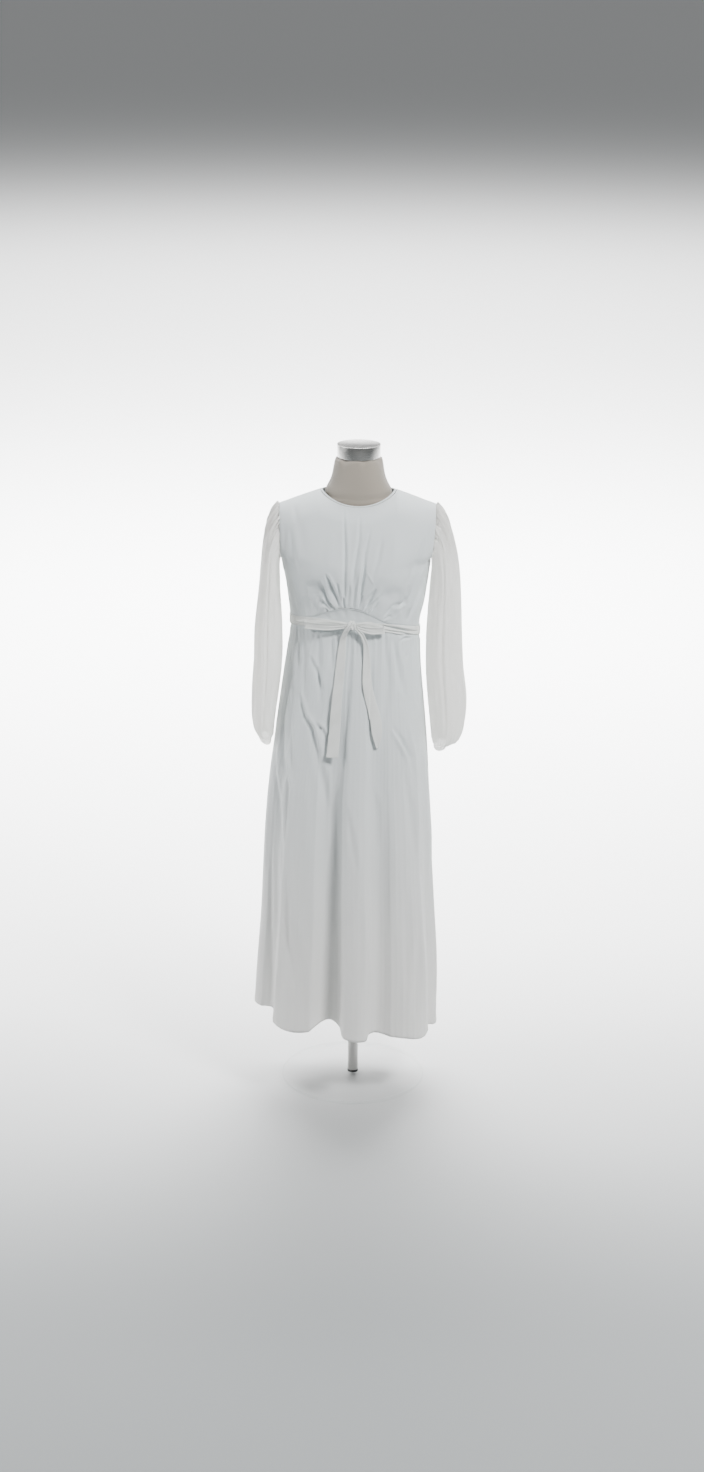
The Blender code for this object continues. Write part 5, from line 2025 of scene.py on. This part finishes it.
        def place(across: Array, along: Array) -> Array:
            """Ribbon out to its end and back behind itself."""
            across = np.clip(across, 0.0, 1.0)
            turn = np.pi * np.clip((across - self.loop_straight) / (1.0 - 2 * self.loop_straight), 0.0, 1.0)
            straight = np.minimum(from_end(across), self.loop_straight) / self.loop_straight
            opened = smoothstep(straight * self.loop_widening)
            spread = thick * blend(self.loop_root_share, 1.0, opened)
            x = start + (reach - sign * thick) * straight + sign * thick * np.sin(turn)
            width = blend(self.loop_root_width, self.loop_width, opened)
            level = self.shape.waist_height(x / self.waist_half_width, -1.0)
            level = level + rise * straight + (along - 0.5) * width
            parted = np.cos(turn) * np.sin(np.pi * np.minimum(straight, 0.95))
            level = level - gape * (parted + 0.3 * straight)
            point = self.surface(x, level, self.loop_away + spread * np.cos(turn))
            point[:, 0] = blend(x, point[:, 0], straight)
            return point

        def out(across: Array, along: Array, spot: Array) -> Array:
            """Pleats at the knot, a hollow middle and waved edges."""
            end = from_end(across)
            pleat = self.loop_pleat * np.exp(-end / 0.16) * np.cos(along * 2 * np.pi * 2.0 + 0.6)
            hollow = -self.loop_hollow * np.sin(np.pi * along) * smoothstep(end / 0.2)
            edge = self.loop_edge * np.sin(across * 26.0 + 2.0 * sign) * np.cos(along * np.pi)
            return (pleat + hollow + edge) * smoothstep(end / 0.03)

        cut = Cut((2 * abs(reach) + 0.01, 0.020), Held.FOLDED, "belt", inside=(0.20, 0.020))
        name = "bow_loop_" + side.word
        self.maker.sheet(name, (150, 22), Surface(place, out), self.cloth, cut, wall=self.ribbon_wall)

    def tail(self, side: Side, rows: Rows, seed: float) -> None:
        """Make a free end of the belt, which leaves the knot and lies down the skirt.

        Args:
            side: side of the skirt it lies on.
            rows: its table, from the free end up.
            seed: phase of its waves.
        """
        ridges = Hang(tuple(fold for fold in FRONT_HANG.folds if fold[2] > 0))
        table = SectionTable(rows)
        waves = ((0.0010, 0.0, 17.0, seed), (0.0006, 3.0, 41.0, seed))

        def place(across: Array, along: Array) -> Array:
            """Ribbon down over the skirt's front folds."""
            height = blend(rows[-1][0], rows[0][0], along)
            middle, width, away = table.at(height)
            x = middle + (np.clip(across, 0.0, 1.0) - 0.5) * width
            left, right = self.shape.skirt.at(height)[:2]
            angle = np.degrees(np.arcsin(x_to_share(x, left, right)))
            return self.shape.skirt_point(ridges, angle, height, -1, away)

        def out(across: Array, along: Array, spot: Array) -> Array:
            """Pleats under the knot, curled edges and slow waves."""
            pleat = self.tail_pleat * np.exp(-along / 0.10) * np.cos((across - 0.5) * 2 * np.pi * 1.3)
            curl = self.tail_curl * (2 * np.abs(across - 0.5)) ** 2 * np.sin(along * 9.0 + seed)
            hem = self.tail_hem * smoothstep((0.05 - from_end(across)) / 0.03)
            return pleat + (curl + ripples(waves, across, along)) * smoothstep(along / 0.1) + hem

        flat = (0.027, rows[-1][0] - rows[0][0] + 0.020)
        cut = Cut(flat, Held.HUNG, "skirt_front", area=flat[0] * flat[1] * 0.75, inside=(0.025, 0.31))
        name = "belt_tail_" + side.word
        self.maker.sheet(name, (26, 190), Surface(place, out), self.cloth, cut, wall=self.ribbon_wall)


@dataclass(frozen=True)
class Turning:
    """A piece of the form turned about the Z axis, in place of a node.

    top_edge is rows of inset from the node's radius and drop from its top, and foot_edge is rows of
    inset and rise from its foot.
    """

    node: str
    ending: str
    slot: str
    top_edge: Rows
    foot_edge: Rows


CAP = Turning(
    "form_neck_cap", "steel", "brushed_steel",
    (
        (0.0030, 0.0002), (0.0024, 0.0), (0.0008, 0.0), (0.0002, 0.0002), (0.0, 0.0008), (0.0, 0.0016),
        (0.0002, 0.0019), (0.0012, 0.0021), (0.0006, 0.0025),
    ),
    ((0.0006, 0.0014), (0.0010, 0.0004), (0.0020, 0.0)),
)
POLE = Turning("form_pole", "steel", "brushed_steel", ((0.0, 0.0),), ((0.0, 0.0006), (0.0006, 0.0)))
FOOT = Turning(
    "form_pole_foot", "rubber", "dark_rubber",
    ((0.0012, 0.0), (0.0004, 0.0004), (0.0, 0.0012)), ((0.0, 0.0),),
)
PLATE = Turning(
    "form_base", "glass", "clear_glass", ((0.0018, 0.0), (0.0005, 0.0005), (0.0, 0.0018)),
    ((0.0, 0.0018), (0.0005, 0.0005), (0.0018, 0.0)),
)


@dataclass
class DressForm:
    """The limbless form: padded torso, steel cap, pole, foot and clear base."""

    maker: PieceMaker
    torso_mesh: bpy.types.Mesh
    spin_steps: int = 96
    sharp_deg: float = 40.0
    shape_deg: float = 80.0
    torso_merge: float = 0.00002
    smoothing: int = 2
    neck_padding: float = 0.0040
    neck_start: float = 1.4760
    neck_rise: float = 0.0100
    flare: float = 0.0042
    flare_height: float = 1.4820
    flare_reach: float = 0.0130
    throat: float = 0.0058
    throat_height: float = 1.4735

    def build(self) -> None:
        """Make every piece of the form."""
        self.torso(CoverFinish().make())
        self.turned(CAP, SteelFinish("brushed_steel_round", Brushing.ROUND).make())
        self.turned(POLE, SteelFinish("brushed_steel_long", Brushing.LENGTHWISE, roughness=0.30).make())
        self.turned(FOOT, RubberFinish().make())
        self.turned(PLATE, GlassFinish().make())

    def turned(self, turning: Turning, material: Material) -> None:
        """Spin a piece's profile about the Z axis and let it replace its node.

        Args:
            turning: the piece's profile, node and slot.
            material: its finish.
        """
        low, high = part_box(turning.node)
        crown = high.z - turning.top_edge[0][1]
        profile = [(0.0, crown)] + [(high.x - inset, high.z - drop) for inset, drop in turning.top_edge]
        profile += [(high.x - inset, low.z + rise) for inset, rise in turning.foot_edge] + [(0.0, low.z)]
        bm = bmesh.new()
        verts = [bm.verts.new((radius, 0.0, height)) for radius, height in profile]
        edges = [bm.edges.new(pair) for pair in zip(verts[:-1], verts[1:])]
        bmesh.ops.spin(
            bm, geom=verts + edges, cent=(0, 0, 0), axis=(0, 0, 1), dvec=(0, 0, 0), angle=2 * math.pi,
            steps=self.spin_steps, use_merge=True,
        )
        mend(bm)
        obj = self.maker.add(turning.node + "_" + turning.ending, bm, material)
        obj.data.set_sharp_from_angle(angle=math.radians(self.sharp_deg))
        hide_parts(turning.node)

    def torso(self, material: Material) -> None:
        """Smooth padded body on a merged copy of the torso's solid.

        Args:
            material: its finish.
        """
        bm = bmesh.new()
        bm.from_mesh(self.torso_mesh)
        bmesh.ops.remove_doubles(bm, verts=bm.verts[:], dist=self.torso_merge)
        bmesh.ops.join_triangles(
            bm, faces=bm.faces[:], angle_face_threshold=math.radians(self.sharp_deg),
            angle_shape_threshold=math.radians(self.shape_deg),
        )
        bmesh.ops.recalc_face_normals(bm, faces=bm.faces[:])
        for vert in bm.verts:
            above = float(smoothstep((vert.co.z - self.neck_start) / self.neck_rise))
            near = math.exp(-(((vert.co.z - self.flare_height) / self.flare_reach) ** 2))
            front = math.exp(-(((vert.co.z - self.throat_height) / self.flare_reach) ** 2))
            way = Vector((vert.co.x, vert.co.y, 0.0)).normalized()
            vert.co += self.neck_padding * above * way
            vert.co.x += self.flare * near * way.x
            vert.co.y += self.throat * front * min(way.y, 0.0)
        obj = self.maker.add("form_torso_cover", bm, material)
        smooth = obj.modifiers.new("smooth", "SUBSURF")
        smooth.levels = smooth.render_levels = self.smoothing
        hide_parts("form_torso")


@dataclass(frozen=True)
class Lamp:
    """A large soft light aimed at a point, held to its spread as by a grid."""

    name: str
    place: Triple
    aim: Triple
    size: Pair
    power: float
    spread_deg: float = 180.0

    def build(self) -> None:
        """Add the light."""
        data = bpy.data.lights.new(self.name, "AREA")
        data.spread = math.radians(self.spread_deg)
        data.shape = "RECTANGLE"
        data.size, data.size_y = self.size
        data.energy = self.power
        lamp = bpy.data.objects.new(self.name, data)
        lamp.location = self.place
        way = Vector(self.aim) - Vector(self.place)
        lamp.rotation_euler = way.to_track_quat("-Z", "Y").to_euler()
        bpy.context.scene.collection.objects.link(lamp)


LAMPS = (
    Lamp("behind_near", (0.0, 4.2, 5.2), (0.0, 4.2, 0.0), (6.5, 3.0), 1500.0, 112.0),
    Lamp("behind_far", (0.0, 10.5, 5.2), (0.0, 10.5, 0.0), (9.0, 10.0), 1900.0, 150.0),
    Lamp("key", (1.9, -2.4, 3.7), (0.0, 0.0, 1.0), (0.9, 0.7), 225.0),
    Lamp("left_wall", (-3.4, -0.4, 2.2), (0.0, 0.0, 0.9), (2.0, 2.6), 100.0),
)


@dataclass(frozen=True)
class FloorFinish:
    """Pale floor with painted shade: grey in front of the dress and partly under it, where the light falls
    off towards the front, and lighter again far in front of it.
    """

    name: str = "pale_floor"
    # Painted shade where the light falls off towards the front
    painted_shade: Colour = (0.235, 0.25, 0.255)
    pale: Colour = (0.90, 0.905, 0.905)
    behind: Pair = (-1.3, 1.2)
    before: Pair = (-5.0, -2.4)
    before_share: float = 0.8

    def make(self) -> Material:
        """Build the material on Object coordinates.

        Returns:
            The material.
        """
        bench = NodeBench(self.name)
        y = bench.axes(bench.place())[1]
        # Painted shade: full grey in front of the dress, about half grey under it, pale behind and lighter
        # again far in front
        share = bench.ramp(y, *self.behind, 0.0, 1.0) + bench.ramp(y, *self.before, self.before_share, 0.0)
        mix = bench.mix(share, tint(self.painted_shade), tint(self.pale))
        return bench.finish(bench.skin({"Base Color": mix, "Roughness": 0.6}))


@dataclass
class Studio:
    """Pale floor, soft light and the camera at the photo's angle."""

    floor_size: float = 60.0
    floor_columns: int = 8
    sky: Colour = (0.93, 0.95, 0.96)
    sky_strength: float = 0.26
    camera_place: Triple = (-0.0096, -6.0, 2.868)
    pitch_deg: float = 18.293
    roll_deg: float = 0.54
    focal_px: float = 2648.0
    frame_height_px: float = 1472.0
    sensor: float = 36.0

    def build(self) -> None:
        """Make the floor, the lights, the world and the camera."""
        material = FloorFinish().make()
        bm = bmesh.new()
        bmesh.ops.create_grid(
            bm, x_segments=self.floor_columns, y_segments=self.floor_columns, size=self.floor_size,
        )
        mesh = bpy.data.meshes.new("floor")
        bm.to_mesh(mesh)
        bm.free()
        mesh.materials.append(material)
        floor = bpy.data.objects.new("floor", mesh)
        bpy.context.scene.collection.objects.link(floor)
        world = bpy.data.worlds.new("studio")
        world.use_nodes = True
        backdrop = world.node_tree.nodes["Background"]
        backdrop.inputs["Color"].default_value = tint(self.sky)
        backdrop.inputs["Strength"].default_value = self.sky_strength
        bpy.context.scene.world = world
        for lamp in LAMPS:
            lamp.build()
        self.camera()

    def camera(self) -> None:
        """Add the camera with the photo's place, tilt and focal length."""
        data = bpy.data.cameras.new("camera")
        data.sensor_width = self.sensor
        data.lens = self.focal_px * self.sensor / self.frame_height_px
        data.clip_end = 200.0
        obj = bpy.data.objects.new("camera", data)
        tilt = Matrix.Rotation(math.radians(90.0 - self.pitch_deg), 4, "X")
        roll = Matrix.Rotation(math.radians(self.roll_deg), 4, "Z")
        obj.matrix_world = Matrix.Translation(self.camera_place) @ tilt @ roll
        bpy.context.scene.collection.objects.link(obj)
        bpy.context.scene.camera = obj


def main() -> None:
    """Build every piece in order."""
    logging.basicConfig(level=logging.INFO, format="%(name)s %(message)s")
    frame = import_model()
    Studio().build()
    maker = PieceMaker()
    shape = WornShape(SectionTable(BODICE_SECTIONS), SectionTable(SKIRT_SECTIONS))
    # The third colour of each cloth is painted warm floor light towards the hem
    cotton = CottonFinish(
        WHITE, (0.83, 0.885, 0.90), (0.79, 0.845, 0.86), (0.88, 0.875, 0.855), 0.14, (0.86, 0.86, 0.83),
    ).make()
    voile = CottonFinish(
        SHEER, (0.955, 0.955, 0.955), (0.93, 0.93, 0.925), (0.94, 0.925, 0.89), 0.38, (0.985, 0.98, 0.955),
        alpha=0.55,
    ).make()
    DressForm(maker, frame["nodes"]["form_torso"].data).build()
    thread = ThreadFinish().make()
    Bodice(maker, shape, cotton, thread).build()
    Waist(maker, shape, cotton).build()
    Skirt(maker, shape, cotton, thread).build()
    for side, rows, cuff_end in (
        (Side.LEFT, LEFT_SLEEVE, (0.2310, 0.8848, 0.2030, 0.8705)),
        (Side.RIGHT, RIGHT_SLEEVE, (0.2160, 0.8680, 0.1860, 0.8615)),
    ):
        Sleeve(maker, shape, voile, thread, side, SectionTable(rows), cuff_end).build()
    # The tape's third colour is painted warm floor light too
    tape = CottonFinish(
        "white_cotton_tape", (0.870, 0.890, 0.866), (0.825, 0.845, 0.820), (0.860, 0.868, 0.845), 0.10,
        (0.84, 0.85, 0.80), crumple_scale=60.0,
    ).make()
    Belt(maker, shape, tape).build()
    LOG.info("made %d pieces", len(maker.made))


if __name__ == "__main__":
    main()
